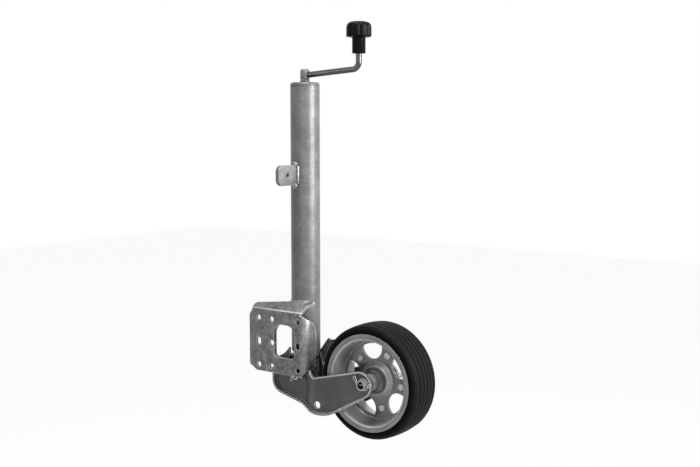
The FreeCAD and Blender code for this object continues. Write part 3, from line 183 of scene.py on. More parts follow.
# %% Build the world
WHITE = (1, 1, 1, 1)
fill_strength = 0.10
seen_strength = 1.0
world = bpy.data.worlds.new("studio_world")
bpy.context.scene.world = world
world.use_nodes = True
tree = world.node_tree
tree.nodes.clear()
fill = add(tree, "ShaderNodeBackground")
fill.inputs["Color"].default_value = WHITE
fill.inputs["Strength"].default_value = fill_strength
seen = add(tree, "ShaderNodeBackground")
seen.inputs["Color"].default_value = WHITE
seen.inputs["Strength"].default_value = seen_strength
path = add(tree, "ShaderNodeLightPath")
direct = add(tree, "ShaderNodeMath", operation="MAXIMUM")
either = add(tree, "ShaderNodeMath", operation="MAXIMUM")
mix = add(tree, "ShaderNodeMixShader")
out = add(tree, "ShaderNodeOutputWorld")
chain(tree,
      (path.outputs["Is Camera Ray"], direct.inputs[0]),
      (path.outputs["Is Glossy Ray"], direct.inputs[1]),
      (direct.outputs[0], either.inputs[0]),
      (path.outputs["Is Transmission Ray"], either.inputs[1]),
      (either.outputs[0], mix.inputs["Fac"]),
      (fill.outputs[0], mix.inputs[1]),
      (seen.outputs[0], mix.inputs[2]),
      (mix.outputs[0], out.inputs["Surface"]))
print("world built")

# %% [markdown]
# ## Camera and lamps
# The camera stands where the photographer's did: a little above the wheel, with a normal lens.
# One large soft lamp on the right makes the bright stripe down the tube, a weak one by the camera
# lifts the plate, a strip on the left draws the plate's ridge and a panel above lights the slopes.

# %% Place the camera
camera_data = bpy.data.cameras.new("studio_camera")
camera_data.sensor_width = 36.0
camera_data.lens = 53.63
camera = bpy.data.objects.new("studio_camera", camera_data)
camera.location = (1.3712, -1.6304, 0.4580)
camera.rotation_euler = (math.radians(83.87), 0.0, math.radians(36.05))
bpy.context.scene.collection.objects.link(camera)
bpy.context.scene.camera = camera
bpy.context.scene.view_settings.view_transform = "Standard"
print("camera ready")


# %% Hang the lamps
lamp_aim = Vector((tube_axis.x + 0.06, tube_axis.y, 0.15))


def lamp(name, place, power, width, height):
    """A soft panel of light that faces the middle of the object."""
    data = bpy.data.lights.new(name, "AREA")
    data.shape = "RECTANGLE"
    data.size = width
    data.size_y = height
    data.energy = power
    light = bpy.data.objects.new(name, data)
    light.location = place
    light.rotation_euler = (lamp_aim - light.location).to_track_quat("-Z", "Y").to_euler()
    bpy.context.scene.collection.objects.link(light)
    return light


lamp("key_panel", (1.92, 0.25, 0.85), 92.0, 1.0, 1.6)
lamp("front_panel", (0.9, -1.95, 1.1), 5.5, 0.9, 1.4)
lamp("ridge_strip", (-1.15, -1.55, 1.05), 3.0, 0.3, 0.9)
lamp("top_panel", (0.25, -0.35, 2.1), 36.0, 1.0, 1.0)
print("four lamps")

# %% [markdown]
# ## Finishes shared by several metals
# Zinc coats are never even. Three small node groups make what they share: `zinc_mottle` gives
# the cloudy patches and small spangles of a dipped coat, `edge_mask` finds the edges that are
# painted bright, part rubbed coat and part painted highlight, and the third group finds the
# corners, which get painted shade.


# %% A helper for node groups
def group_tree(name, inputs, outputs):
    """An empty node group with its named sockets: the tree, its input and its output node."""
    tree = bpy.data.node_groups.new(name, "ShaderNodeTree")
    for title, kind, value in inputs:
        socket = tree.interface.new_socket(title, in_out="INPUT", socket_type=kind)
        socket.default_value = value
    for title, kind in outputs:
        tree.interface.new_socket(title, in_out="OUTPUT", socket_type=kind)
    return tree, tree.nodes.new("NodeGroupInput"), tree.nodes.new("NodeGroupOutput")


FLOAT = "NodeSocketFloat"

# %% Cloudy zinc
mottle_tree, given, result = group_tree("zinc_mottle", [
    ("Cloud Scale", FLOAT, 30.0), ("Spangle Scale", FLOAT, 180.0), ("Spangle", FLOAT, 0.4)],
    [("Cloud", FLOAT), ("Fleck", FLOAT), ("Height", FLOAT)])
coords = add(mottle_tree, "ShaderNodeTexCoord")
mapping = add(mottle_tree, "ShaderNodeMapping")
cloud = add(mottle_tree, "ShaderNodeTexNoise")
cloud.inputs["Detail"].default_value = 6.0
cloud.inputs["Roughness"].default_value = 0.62
cloud.inputs["Distortion"].default_value = 0.35
spangle = add(mottle_tree, "ShaderNodeTexVoronoi", feature="F1")
fleck = add(mottle_tree, "ShaderNodeTexNoise")
fleck.inputs["Detail"].default_value = 3.0
spread = add(mottle_tree, "ShaderNodeMapRange")
spread.inputs["From Min"].default_value = 0.36
spread.inputs["From Max"].default_value = 0.64
blend = add(mottle_tree, "ShaderNodeMix", data_type="FLOAT")
grey = add(mottle_tree, "ShaderNodeSeparateColor")
both = add(mottle_tree, "ShaderNodeMath", operation="ADD")
chain(mottle_tree,
      (coords.outputs["Object"], mapping.inputs["Vector"]),
      (mapping.outputs[0], cloud.inputs["Vector"]),
      (mapping.outputs[0], spangle.inputs["Vector"]),
      (mapping.outputs[0], fleck.inputs["Vector"]),
      (given.outputs["Cloud Scale"], cloud.inputs["Scale"]),
      (given.outputs["Spangle Scale"], spangle.inputs["Scale"]),
      (given.outputs["Spangle Scale"], fleck.inputs["Scale"]),
      (cloud.outputs[0], spread.inputs["Value"]),
      (spangle.outputs["Color"], grey.inputs[0]),
      (given.outputs["Spangle"], blend.inputs["Factor"]),
      (spread.outputs[0], blend.inputs["A"]),
      (grey.outputs[0], blend.inputs["B"]),
      (blend.outputs[0], result.inputs["Cloud"]),
      (fleck.outputs[0], result.inputs["Fleck"]),
      (cloud.outputs[0], both.inputs[0]),
      (fleck.outputs[0], both.inputs[1]),
      (both.outputs[0], result.inputs["Height"]))
print("zinc_mottle", len(mottle_tree.nodes))

# %% Bright edges and painted shade in corners
# Bright edges: the bevel finds rounded edges and the colour is lifted there, part rubbed coat and
# part painted highlight.
edge_tree, given, result = group_tree(
    "edge_mask", [("Width", FLOAT, 0.0008), ("Gain", FLOAT, 6.0)], [("Mask", FLOAT)])
rounded = add(edge_tree, "ShaderNodeBevel", samples=6)
flat = add(edge_tree, "ShaderNodeNewGeometry")
alike = add(edge_tree, "ShaderNodeVectorMath", operation="DOT_PRODUCT")
unlike = add(edge_tree, "ShaderNodeMath", operation="SUBTRACT")
unlike.inputs[0].default_value = 1.0
gained = add(edge_tree, "ShaderNodeMath", operation="MULTIPLY", use_clamp=True)
chain(edge_tree,
      (given.outputs["Width"], rounded.inputs["Radius"]),
      (rounded.outputs[0], alike.inputs[0]),
      (flat.outputs["Normal"], alike.inputs[1]),
      (alike.outputs["Value"], unlike.inputs[1]),
      (unlike.outputs[0], gained.inputs[0]),
      (given.outputs["Gain"], gained.inputs[1]),
      (gained.outputs[0], result.inputs["Mask"]))

# Painted shade: where ambient occlusion finds a corner or crease, this group darkens the colour.
corner_shade_tree, given, result = group_tree(
    "painted_corner_shade", [("Reach", FLOAT, 0.012), ("Power", FLOAT, 1.6)], [("Mask", FLOAT)])
shade = add(corner_shade_tree, "ShaderNodeAmbientOcclusion", samples=8)
hidden = add(corner_shade_tree, "ShaderNodeMath", operation="SUBTRACT")
hidden.inputs[0].default_value = 1.0
shaped = add(corner_shade_tree, "ShaderNodeMath", operation="POWER", use_clamp=True)
chain(corner_shade_tree,
      (given.outputs["Reach"], shade.inputs["Distance"]),
      (shade.outputs["AO"], hidden.inputs[1]),
      (hidden.outputs[0], shaped.inputs[0]),
      (given.outputs["Power"], shaped.inputs[1]),
      (shaped.outputs[0], result.inputs["Mask"]))
print("edge_mask and painted_corner_shade")

# %% [markdown]
# ## The metals
# Every zinc piece uses the same recipe with its own values: a dark and a light tone that the
# mottling mixes, a brighter edge that is part wear and part painted highlight, a corner darkened
# by painted shade, and a roughness that follows the flecks.
# The tube is pale and nearly even, the dipped bracket is cloudy, and the pressed fork
# is a smooth dark grey.


# %% The recipe for coated metal
ZINC_RELIEF = 0.6 * MM
# The painted shade in corners goes down to this share of the dark tone.
CORNER_SHADE_SHARE = 0.25


def use_group(tree, group, **values):
    """Place a group; an underscore in a value's name stands for a space in the socket's."""
    node = add(tree, "ShaderNodeGroup", node_tree=group)
    for title, value in values.items():
        node.inputs[title.replace("_", " ")].default_value = value
    return node


def mix_colour(tree, factor, first, second, mode="MIX"):
    """A colour mix; first and second are colours or sockets."""
    node = add(tree, "ShaderNodeMix", data_type="RGBA", blend_type=mode)
    for socket, value in ((node.inputs["Factor"], factor), (node.inputs[6], first),
                          (node.inputs[7], second)):
        if isinstance(value, bpy.types.NodeSocket):
            tree.links.new(value, socket)
        else:
            socket.default_value = value
    return node.outputs[2]


def scaled(tree, source, factor):
    """A mask times a plain number."""
    node = add(tree, "ShaderNodeMath", operation="MULTIPLY")
    node.inputs[1].default_value = factor
    tree.links.new(source, node.inputs[0])
    return node.outputs[0]


def tone(value):
    return (value, value, value, 1)


def coated_metal(name, dark, light, rough, metallic, cloud=30.0, spangle=180.0, spangles=0.3,
                 edge=0.25, edge_tone=0.7, corner_shade=0.6, bump=0.06, edge_width=0.0008, gain=6.0,
                 shine=0.5, spread=0.07):
    """A metal with a coat: dark and light are its two tones, spread is how far the roughness
    strays, edge is how strongly the bright edges show, part wear and part painted highlight, and
    the corner weight is how strongly the painted shade in the corners shows."""
    material, tree = new_material(name)
    shader = add(tree, "ShaderNodeBsdfPrincipled")
    out = add(tree, "ShaderNodeOutputMaterial")
    mottle = use_group(tree, mottle_tree, Cloud_Scale=cloud, Spangle_Scale=spangle,
                       Spangle=spangles)
    edges = use_group(tree, edge_tree, Width=edge_width, Gain=gain)
    corner_shading = use_group(tree, corner_shade_tree)
    colour = mix_colour(tree, mottle.outputs["Cloud"], tone(dark), tone(light))
    # Edges are lifted toward the edge tone: part wear and part painted highlight.
    colour = mix_colour(tree, scaled(tree, edges.outputs[0], edge), colour, tone(edge_tone))
    # Corners are darkened toward a fraction of the dark tone: painted shade.
    colour = mix_colour(tree, scaled(tree, corner_shading.outputs[0], corner_shade), colour,
                        tone(dark * CORNER_SHADE_SHARE))
    gloss = add(tree, "ShaderNodeMapRange")
    gloss.inputs["To Min"].default_value = rough - spread
    gloss.inputs["To Max"].default_value = rough + spread
    relief = add(tree, "ShaderNodeBump")
    relief.inputs["Strength"].default_value = bump
    relief.inputs["Distance"].default_value = ZINC_RELIEF
    shader.inputs["Metallic"].default_value = metallic
    shader.inputs["Specular IOR Level"].default_value = shine
    chain(tree,
          (colour, shader.inputs["Base Color"]),
          (mottle.outputs["Fleck"], gloss.inputs["Value"]),
          (gloss.outputs[0], shader.inputs["Roughness"]),
          (mottle.outputs["Height"], relief.inputs["Height"]),
          (relief.outputs[0], shader.inputs["Normal"]),
          (shader.outputs[0], out.inputs["Surface"]))
    return material


def colour_source(material):
    """The tree and the shader of a material, and the socket that feeds its Base Color."""
    tree = material.node_tree
    shader = next(node for node in tree.nodes if node.type == "BSDF_PRINCIPLED")
    return tree, shader, shader.inputs["Base Color"].links[0].from_socket


# %% Mix the metals
tube_zinc = coated_metal("tube_zinc", 0.08, 0.19, 0.38, 0.3, cloud=22.0, spangle=620.0,
                         spangles=0.5, bump=0.2, edge=0.0, corner_shade=0.5, shine=0.3)
dipped_zinc = coated_metal("dipped_zinc", 0.04, 0.24, 0.36, 0.25, cloud=52.0, spangle=420.0,
                           spangles=0.42, edge=0.9, edge_tone=0.85, corner_shade=0.8, bump=0.2,
                           edge_width=0.0018, gain=9.0)
lug_zinc = coated_metal("lug_zinc", 0.07, 0.19, 0.40, 0.2, cloud=46.0, spangle=300.0,
                        spangles=0.34, edge=0.7, edge_tone=0.6, corner_shade=0.8, bump=0.15)
pressed_zinc = coated_metal("pressed_zinc", 0.045, 0.075, 0.36, 0.2, cloud=18.0, spangle=260.0,
                            spangles=0.14, edge=1.0, edge_tone=0.85, corner_shade=0.8, bump=0.05,
                            edge_width=0.0024, gain=10.0)
rim_coat = coated_metal("rim_coat", 0.36, 0.44, 0.24, 0.4, cloud=16.0, spangle=240.0,
                        spangles=0.0, edge=0.35, edge_tone=0.9, corner_shade=0.9, bump=0.0,
                        gain=4.0, spread=0.01)
rivet_zinc = coated_metal("rivet_zinc", 0.42, 0.70, 0.34, 0.35, cloud=420.0, spangle=700.0,
                          spangles=0.3, edge=0.4, edge_tone=0.95, corner_shade=0.5, bump=0.2)
bright_zinc = coated_metal("bright_zinc", 0.36, 0.48, 0.30, 0.8, cloud=60.0, spangle=300.0,
                           spangles=0.0, edge=0.0, corner_shade=0.8, bump=0.0, spread=0.01)
rod_steel = coated_metal("rod_steel", 0.06, 0.10, 0.20, 0.9, cloud=50.0, spangle=240.0,
                         spangles=0.0, edge=0.0, corner_shade=0.4, bump=0.0, spread=0.01)
cast_iron = coated_metal("cast_iron", 0.03, 0.14, 0.55, 0.4, cloud=70.0, spangle=300.0,
                         spangles=0.3, edge=0.3, edge_tone=0.4, corner_shade=0.8, bump=0.3)
weld_metal = coated_metal("weld_metal", 0.12, 0.34, 0.36, 0.6, cloud=160.0, spangle=420.0,
                          spangles=0.3, edge=0.3, corner_shade=0.6, bump=0.5)
nut_bronze = coated_metal("nut_bronze", 0.30, 0.36, 0.30, 0.9, cloud=60.0)
print("metals: 11")

# %% [markdown]
# ## The painted highlight on the bracket's ridge
# Where the plate bends into its sloping top, a thin painted highlight stands for the bright line
# that the bend catches. A mask by height, broken by a little noise, brightens the coat there.

# %% The ridge's painted highlight
ridge_highlight_tree, given, result = group_tree("painted_ridge_highlight", [
    ("Level", FLOAT, 0.0698), ("Half Width", FLOAT, 0.0017)], [("Mask", FLOAT)])
coords = add(ridge_highlight_tree, "ShaderNodeTexCoord")
split = add(ridge_highlight_tree, "ShaderNodeSeparateXYZ")
above = add(ridge_highlight_tree, "ShaderNodeMath", operation="SUBTRACT")
size = add(ridge_highlight_tree, "ShaderNodeMath", operation="ABSOLUTE")
share = add(ridge_highlight_tree, "ShaderNodeMath", operation="DIVIDE")
fade = add(ridge_highlight_tree, "ShaderNodeMath", operation="SUBTRACT", use_clamp=True)
fade.inputs[0].default_value = 1.0
patchy = add(ridge_highlight_tree, "ShaderNodeTexNoise")
patchy.inputs["Scale"].default_value = 90.0
broken = add(ridge_highlight_tree, "ShaderNodeMath", operation="MULTIPLY", use_clamp=True)
strong = add(ridge_highlight_tree, "ShaderNodeMath", operation="MULTIPLY", use_clamp=True)
strong.inputs[1].default_value = 2.2
chain(ridge_highlight_tree,
      (coords.outputs["Object"], split.inputs[0]),
      (coords.outputs["Object"], patchy.inputs["Vector"]),
      (split.outputs["Z"], above.inputs[0]),
      (given.outputs["Level"], above.inputs[1]),
      (above.outputs[0], size.inputs[0]),
      (size.outputs[0], share.inputs[0]),
      (given.outputs["Half Width"], share.inputs[1]),
      (share.outputs[0], fade.inputs[1]),
      (fade.outputs[0], broken.inputs[0]),
      (patchy.outputs[0], broken.inputs[1]),
      (broken.outputs[0], strong.inputs[0]),
      (strong.outputs[0], result.inputs["Mask"]))
# The painted highlight brightens the ridge up to this tone.
ridge_highlight_tone = 0.62
tree, shader, coat = colour_source(dipped_zinc)
line = use_group(tree, ridge_highlight_tree)
ridge_highlight_coat = mix_colour(tree, line.outputs[0], coat, tone(ridge_highlight_tone))
tree.links.new(ridge_highlight_coat, shader.inputs["Base Color"])
print("painted_ridge_highlight", len(ridge_highlight_tree.nodes))

# %% [markdown]
# ## Painted shade on the flat faces of the rim
# The flat faces of the rim are painted darker than the drawn walls between them: painted shade
# on the faces that the front lamps light most. The wheel only ever turns about Y, so how far a
# face looks along Y stays the same at every pose and makes a mask that travels with the wheel.

# %% Paint shade on the rim's flat faces
# Painted shade: the faces that look along Y are darkened toward this tone.
flat_shade_share = 0.8
flat_shade_tone = 0.10
tree, shader, coat = colour_source(rim_coat)
facing = add(tree, "ShaderNodeNewGeometry")
axes = add(tree, "ShaderNodeSeparateXYZ")
sideways = add(tree, "ShaderNodeMath", operation="ABSOLUTE")
shaded = add(tree, "ShaderNodeMapRange")
shaded.inputs["From Min"].default_value = 0.90
shaded.inputs["From Max"].default_value = 0.99
shaded.inputs["To Max"].default_value = flat_shade_share
chain(tree,
      (facing.outputs["Normal"], axes.inputs[0]),
      (axes.outputs["Y"], sideways.inputs[0]),
      (sideways.outputs[0], shaded.inputs["Value"]))
flat_coat = mix_colour(tree, shaded.outputs[0], coat, tone(flat_shade_tone))
tree.links.new(flat_coat, shader.inputs["Base Color"])
print("the rim's flat faces are dull")

# %% [markdown]
# ## A mask by the distance from the axle
# A tyre's tread is painted lighter than its black side: a painted sheen for the broad highlight
# that it catches. The mask `away_from_axle` grows from 0 to 1 between two radii round the axle,
# which a Mapping node centres.

# %% The ring mask
ring_tree, given, result = group_tree("away_from_axle", [
    ("Inner", FLOAT, 0.100), ("Outer", FLOAT, 0.112)], [("Mask", FLOAT)])
coords = add(ring_tree, "ShaderNodeTexCoord")
centred = add(ring_tree, "ShaderNodeMapping")
centred.inputs["Location"].default_value = (-axle.x, 0, -axle.z)
flattened = add(ring_tree, "ShaderNodeVectorMath", operation="MULTIPLY")
flattened.inputs[1].default_value = (1, 0, 1)
reach = add(ring_tree, "ShaderNodeVectorMath", operation="LENGTH")
grow = add(ring_tree, "ShaderNodeMapRange", interpolation_type="SMOOTHSTEP")
chain(ring_tree,
      (coords.outputs["Object"], centred.inputs["Vector"]),
      (centred.outputs[0], flattened.inputs[0]),
      (flattened.outputs[0], reach.inputs[0]),
      (reach.outputs["Value"], grow.inputs["Value"]),
      (given.outputs["Inner"], grow.inputs["From Min"]),
      (given.outputs["Outer"], grow.inputs["From Max"]),
      (grow.outputs[0], result.inputs["Mask"]))
print("away_from_axle", len(ring_tree.nodes))

# %% [markdown]
# ## Rubber and plastic
# The tyre is matt black with a painted sheen on its tread and painted highlights on its rib edges,
# and the knob and the bushes are a harder black with a soft shine. A fine grain in the bump keeps
# both from looking like paint.


# %% The recipe for black rubber and plastic
GRAIN_RELIEF = 0.4 * MM
BLACK_SPREAD = 0.08


def black_stuff(name, dark, light, rough, grain, bump, corner_shade_tone, shine):
    """A rubber or a plastic: grain is how fine its surface is; its corner tone is painted shade.
    """
    material, tree = new_material(name)
    shader = add(tree, "ShaderNodeBsdfPrincipled")
    out = add(tree, "ShaderNodeOutputMaterial")
    mottle = use_group(tree, mottle_tree, Cloud_Scale=40.0, Spangle_Scale=grain, Spangle=0.1)
    corner_shading = use_group(tree, corner_shade_tree, Reach=0.006, Power=1.2)
    colour = mix_colour(tree, mottle.outputs["Cloud"], tone(dark), tone(light))
    # Corners are darkened toward their own tone: painted shade.
    colour = mix_colour(tree, corner_shading.outputs[0], colour, tone(corner_shade_tone))
    gloss = add(tree, "ShaderNodeMapRange")
    gloss.inputs["To Min"].default_value = rough - BLACK_SPREAD
    gloss.inputs["To Max"].default_value = rough + BLACK_SPREAD
    relief = add(tree, "ShaderNodeBump")
    relief.inputs["Strength"].default_value = bump
    relief.inputs["Distance"].default_value = GRAIN_RELIEF
    shader.inputs["Specular IOR Level"].default_value = shine
    chain(tree,
          (colour, shader.inputs["Base Color"]),
          (mottle.outputs["Cloud"], gloss.inputs["Value"]),
          (gloss.outputs[0], shader.inputs["Roughness"]),
          (mottle.outputs["Fleck"], relief.inputs["Height"]),
          (relief.outputs[0], shader.inputs["Normal"]),
          (shader.outputs[0], out.inputs["Surface"]))
    return material


# %% Mix the blacks and the grey
tyre_rubber = black_stuff("tyre_rubber", 0.001, 0.003, 0.50, 1400.0, 0.22, 0.001, 0.03)
# The tread is painted lighter and the crests of its ribs brighter: a painted sheen and painted
# highlights.
tread_sheen_share, tread_sheen_tone, crest_highlight_tone = 0.55, 0.012, 0.050
tree, shader, side_colour = colour_source(tyre_rubber)
ring = use_group(tree, ring_tree)
tread_sheen = scaled(tree, ring.outputs[0], tread_sheen_share)
sheened_tyre = mix_colour(tree, tread_sheen, side_colour, tone(tread_sheen_tone))
ribs = use_group(tree, edge_tree, Width=0.0009, Gain=5.0)
crest_highlight = add(tree, "ShaderNodeMath", operation="MULTIPLY")
chain(tree, (ribs.outputs[0], crest_highlight.inputs[0]), (ring.outputs[0], crest_highlight.inputs[1]))
sheened_tyre = mix_colour(tree, crest_highlight.outputs[0], sheened_tyre, tone(crest_highlight_tone))
tree.links.new(sheened_tyre, shader.inputs["Base Color"])
knob_plastic = black_stuff("knob_plastic", 0.002, 0.004, 0.34, 2200.0, 0.10, 0.001, 0.06)
slide_nylon = black_stuff("slide_nylon", 0.012, 0.016, 0.42, 1800.0, 0.08, 0.005, 0.4)
soft_buffer = black_stuff("soft_buffer", 0.008, 0.014, 0.60, 1500.0, 0.20, 0.004, 0.3)
grey_nylon = black_stuff("grey_nylon", 0.14, 0.20, 0.40, 1500.0, 0.08, 0.03, 0.4)
print("four blacks and a grey")

# %% [markdown]
# ## Which finish goes on which node
# The record says which material slot each node has, so one table from slot to finish dresses
# every node. A second table then changes the few nodes whose coat differs from their slot's.

# %% Dress the nodes
FINISH_OF_SLOT = {
    "zinc_tube": tube_zinc, "galvanised": dipped_zinc, "pressed_zinc": pressed_zinc,
    "rim_steel": rim_coat, "bright_steel": bright_zinc, "dark_casting": cast_iron,
    "tyre_rubber": tyre_rubber, "black_plastic": knob_plastic, "slide_plastic": slide_nylon,
    "buffer_rubber": soft_buffer, "nut_bronze": nut_bronze,
}
FINISH_OF_NODE = {
    "crank_handle": rod_steel, "crank_head": lug_zinc, "top_cap": tube_zinc,
    "side_lug": lug_zinc, "lug_welds": weld_metal, "bracket_welds": weld_metal,
    "pivot_washers": cast_iron, "stop_plate": lug_zinc, "stop_collar": bright_zinc,
    "axle_washers": bright_zinc, "hub_spacers": rim_coat, "hub_tube": rim_coat,
    "hub_bushes": grey_nylon, "rim_rivets": rivet_zinc,
}
slot_of_node = {row["node"]: row["material_slot"] for row in frame["record"]["subparts"]}
for name, thing in nodes.items():
    thing.data.materials.clear()
    thing.data.materials.append(FINISH_OF_SLOT[slot_of_node[name]])
for name, finish in FINISH_OF_NODE.items():
    nodes[name].data.materials.clear()
    nodes[name].data.materials.append(finish)
print("dressed", len(nodes))

# %% [markdown]
# ## Rounded edges on cut and pressed sheet
# Real edges catch the light because they are never sharp. A copy of the node's mesh is merged and
# its flat faces are joined, so that a Bevel modifier can round each sharp edge.


# %% Soften the edges of a node
MERGE_GAP = 0.02 * MM
FLAT_ANGLE = math.radians(0.6)


def softened(node, width=0.5, segments=2, angle=34.0):
    """A copy of a CAD node with small rounds on its sharp edges; width in millimetres."""
    work = bmesh.new()
    work.from_mesh(nodes[node].data)
    bmesh.ops.remove_doubles(work, verts=work.verts, dist=MERGE_GAP)
    bmesh.ops.dissolve_limit(work, angle_limit=FLAT_ANGLE, verts=work.verts,
                             edges=work.edges, delimit={"NORMAL"})
    piece = from_bmesh(work, f"{node}_soft")
    edge_round = piece.modifiers.new("edge_round", "BEVEL")
    edge_round.width = width * MM
    edge_round.segments = segments
    edge_round.limit_method = "ANGLE"
    edge_round.angle_limit = math.radians(angle)
    edge_round.harden_normals = True
    edge_round.use_clamp_overlap = True
    piece.data.materials.append(nodes[node].data.materials[0])
    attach(piece, body_of_node[node])
    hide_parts(node)
    return piece


EDGE_ROUNDS = {
    "mounting_bracket": 0.8, "fork_cheek_near": 0.6, "fork_cheek_far": 0.6, "side_lug": 0.9,
    "stop_plate": 0.6, "crank_head": 0.5, "rim_half_near": 0.8, "rim_half_far": 0.8,
    "tyre": 0.7, "top_cap": 3.0, "bracket_welds": 1.0, "lug_welds": 1.2, "rim_rivets": 0.5,
    "fork_head": 1.2, "fork_web": 0.5,
}
for node, width in EDGE_ROUNDS.items():
    softened(node, width)
print("softened pieces:", len(EDGE_ROUNDS))

# %% [markdown]
# ## The knob
# The real knob is one moulding: a skirt for the fingers' ends and a head with eight broad lobes,
# crowned on top. Its half profile is spun round the rod's axis, and the head is then pulled in
# between the lobes, least at the crown, which a stack of plain rings could not show.

# %% Turn the knob
grip_low, grip_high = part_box("knob_grip")
bore = 6.3 * MM
skirt = 13.2 * MM
head = 25.0 * MM
head_foot = grip_low.z + 31 * MM
crown_drop = 4.0 * MM
crown_top = grip_high.z - crown_drop
bore_depth = 45 * MM
spin_steps = 96
lobes = 8
lobe_turn = 0.6
dent_depth = 0.085
dent_width = 2.5
half_profile = [(bore, grip_low.z), (skirt - 1 * MM, grip_low.z), (skirt, grip_low.z + 1 * MM),
                (skirt, head_foot - 2.5 * MM), (skirt + 0.7 * MM, head_foot - 0.8 * MM),
                (skirt + 2.5 * MM, head_foot), (head - 2.6 * MM, head_foot + 0.6 * MM),
                (head - 0.7 * MM, head_foot + 1.5 * MM), (head, head_foot + 3.4 * MM),
                (head - 0.3 * MM, crown_top - 11 * MM), (head - 1.2 * MM, crown_top - 7.2 * MM),
                (head - 3.6 * MM, crown_top - 3.8 * MM), (head - 7.2 * MM, crown_top - 1.8 * MM),
                (head - 13 * MM, crown_top - 0.5 * MM), (0.0, crown_top)]
work = bmesh.new()
ring = [work.verts.new((knob_axis.x + r, knob_axis.y, z)) for r, z in half_profile]
line = [work.edges.new(pair) for pair in zip(ring, ring[1:])]
bmesh.ops.spin(work, geom=ring + line, cent=(knob_axis.x, knob_axis.y, 0), axis=(0, 0, 1),
               angle=math.tau, steps=spin_steps, use_merge=True)
bmesh.ops.remove_doubles(work, verts=work.verts, dist=0.01 * MM)
for spot in work.verts:
    away = Vector((spot.co.x - knob_axis.x, spot.co.y - knob_axis.y))
    if away.length > skirt + 3 * MM and spot.co.z > head_foot - 0.1 * MM:
        turn = math.atan2(away.y, away.x) * lobes + lobe_turn
        reach = (away.length - skirt) / (head - skirt)
        dent = max(0.0, math.cos(turn)) ** dent_width * dent_depth * reach
        spot.co.x -= away.x * dent
        spot.co.y -= away.y * dent
bottom = [edge for edge in work.edges if edge.is_boundary]
hole = bmesh.ops.extrude_edge_only(work, edges=bottom)
wall = [part for part in hole["geom"] if isinstance(part, bmesh.types.BMVert)]
bmesh.ops.translate(work, verts=wall, vec=(0, 0, bore_depth))
bmesh.ops.holes_fill(work, edges=[edge for edge in work.edges if edge.is_boundary], sides=200)
bmesh.ops.recalc_face_normals(work, faces=work.faces)
knob = from_bmesh(work, "turned_knob", 50)
knob.data.materials.append(knob_plastic)
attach(knob, body_of_node["knob_grip"])
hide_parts("knob_grip")
print("knob faces", len(knob.data.polygons))

# %% [markdown]
# ## Split pins
# A split pin is half-round wire folded double: an eye at one end and two legs, which the fitter
# bends apart. The wire is a smooth curve with a round section, which is quicker to bend than
# a chain of extruded rings. It is turned into a mesh so that it can ride like any other piece.


# %% Bend a wire
def bent_wire(name, points, radius, closed=False):
    """A round wire along a smooth curve; points are in metres."""
    line = bpy.data.curves.new(name, "CURVE")
    line.dimensions = "3D"
    line.bevel_depth = radius
    line.bevel_resolution = 4
    line.resolution_u = 8
    line.use_fill_caps = True
    spline = line.splines.new("NURBS")
    spline.points.add(len(points) - 1)
    for spot, place in zip(spline.points, points):
        spot.co = (*place, 1.0)
    spline.order_u = 3
    spline.use_cyclic_u = closed
    spline.use_endpoint_u = not closed
    holder = bpy.data.objects.new(f"{name}_line", line)
    bpy.context.scene.collection.objects.link(holder)
    mesh = bpy.data.meshes.new_from_object(holder.evaluated_get(
        bpy.context.evaluated_depsgraph_get()))
    bpy.data.objects.remove(holder)
    return mesh


def joined(name, meshes, node, finish):
    """One piece from several meshes, which takes a node's place."""
    work = bmesh.new()
    for mesh in meshes:
        work.from_mesh(mesh)
    bmesh.ops.remove_doubles(work, verts=work.verts, dist=0.01 * MM)
    bmesh.ops.recalc_face_normals(work, faces=work.faces)
    piece = from_bmesh(work, name, 40)
    piece.data.materials.append(finish)
    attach(piece, body_of_node[node])
    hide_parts(node)
    return piece


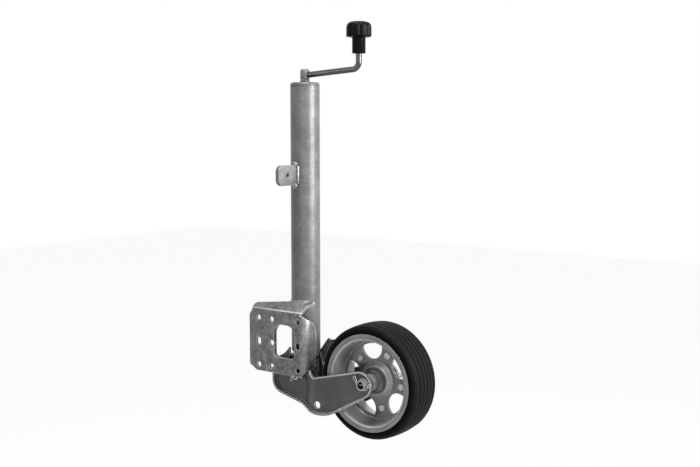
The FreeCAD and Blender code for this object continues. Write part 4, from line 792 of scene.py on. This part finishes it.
def split_pin(name, middle, half, wire, legs, eye):
    """The meshes of one pin: legs are the bent ends, eye its loop's reach and half-height."""
    reach, height = eye
    base = Vector(middle)
    loop = [base + Vector((half + x * reach, 0, z * height)) for x, z in (
        (-0.05, 0.25), (0.30, 0.85), (0.80, 0.85), (1.0, 0.0), (0.80, -0.85), (0.30, -0.85),
        (-0.05, -0.25))]
    meshes = [bent_wire(f"{name}_eye", loop, wire * 0.8)]
    for number, (side, end) in enumerate(zip((1, -1), legs), start=1):
        shift = Vector((0, 0, side * wire * 0.45))
        path = [base + Vector((half, 0, 0)) + shift, base + Vector((-half * 0.8, 0, 0)) + shift]
        path += [base + Vector((-half + x, y, z)) for x, y, z in end]
        meshes.append(bent_wire(f"{name}_leg_{number}", path, wire * 0.62))
    return meshes


low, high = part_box("axle_split_pins")
wire = 1.5 * MM
axle_half = 10 * MM + wire
axle_eye = (9.0 * MM, 3.4 * MM)
axle_legs = (((-0.5 * MM, 0, 1 * MM), (-3.0 * MM, -0.4 * MM, 8 * MM), (-7.0 * MM, 0, 16 * MM)),
             ((-2.0 * MM, 0, -0.5 * MM), (-6.0 * MM, -0.6 * MM, 5 * MM),
              (-11.5 * MM, 0, 13.5 * MM)))
pins = []
for number, y in enumerate((low.y + wire, high.y - wire), start=1):
    pins += split_pin(f"axle_pin_{number}", (axle.x, y, axle.z), axle_half, wire, axle_legs,
                      axle_eye)
joined("axle_pins", pins, "axle_split_pins", bright_zinc)

low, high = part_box("pivot_split_pins")
pivot_half = 8 * MM + wire
pivot_eye = (8.0 * MM, 3.2 * MM)
pivot_legs = (((-0.5 * MM, 0, -1 * MM), (-1.5 * MM, -0.3 * MM, -7 * MM), (1.5 * MM, 0, -12 * MM)),
              ((-2.0 * MM, 0, -1 * MM), (-4.0 * MM, -0.4 * MM, -8 * MM),
               (-2.5 * MM, 0, -14 * MM)))
pins = []
for number, y in enumerate((low.y + wire, high.y - wire), start=1):
    pins += split_pin(f"pivot_pin_{number}", (pivot.x, y, pivot.z), pivot_half, wire, pivot_legs,
                      pivot_eye)
joined("pivot_pins", pins, "pivot_split_pins", bright_zinc)
print("split pins:", 4)

# %% [markdown]
# ## Finish
# The size of the dressed object is printed.

# %% Print the size and finish
low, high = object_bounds()
print("size", [round(v, 4) for v in high - low])
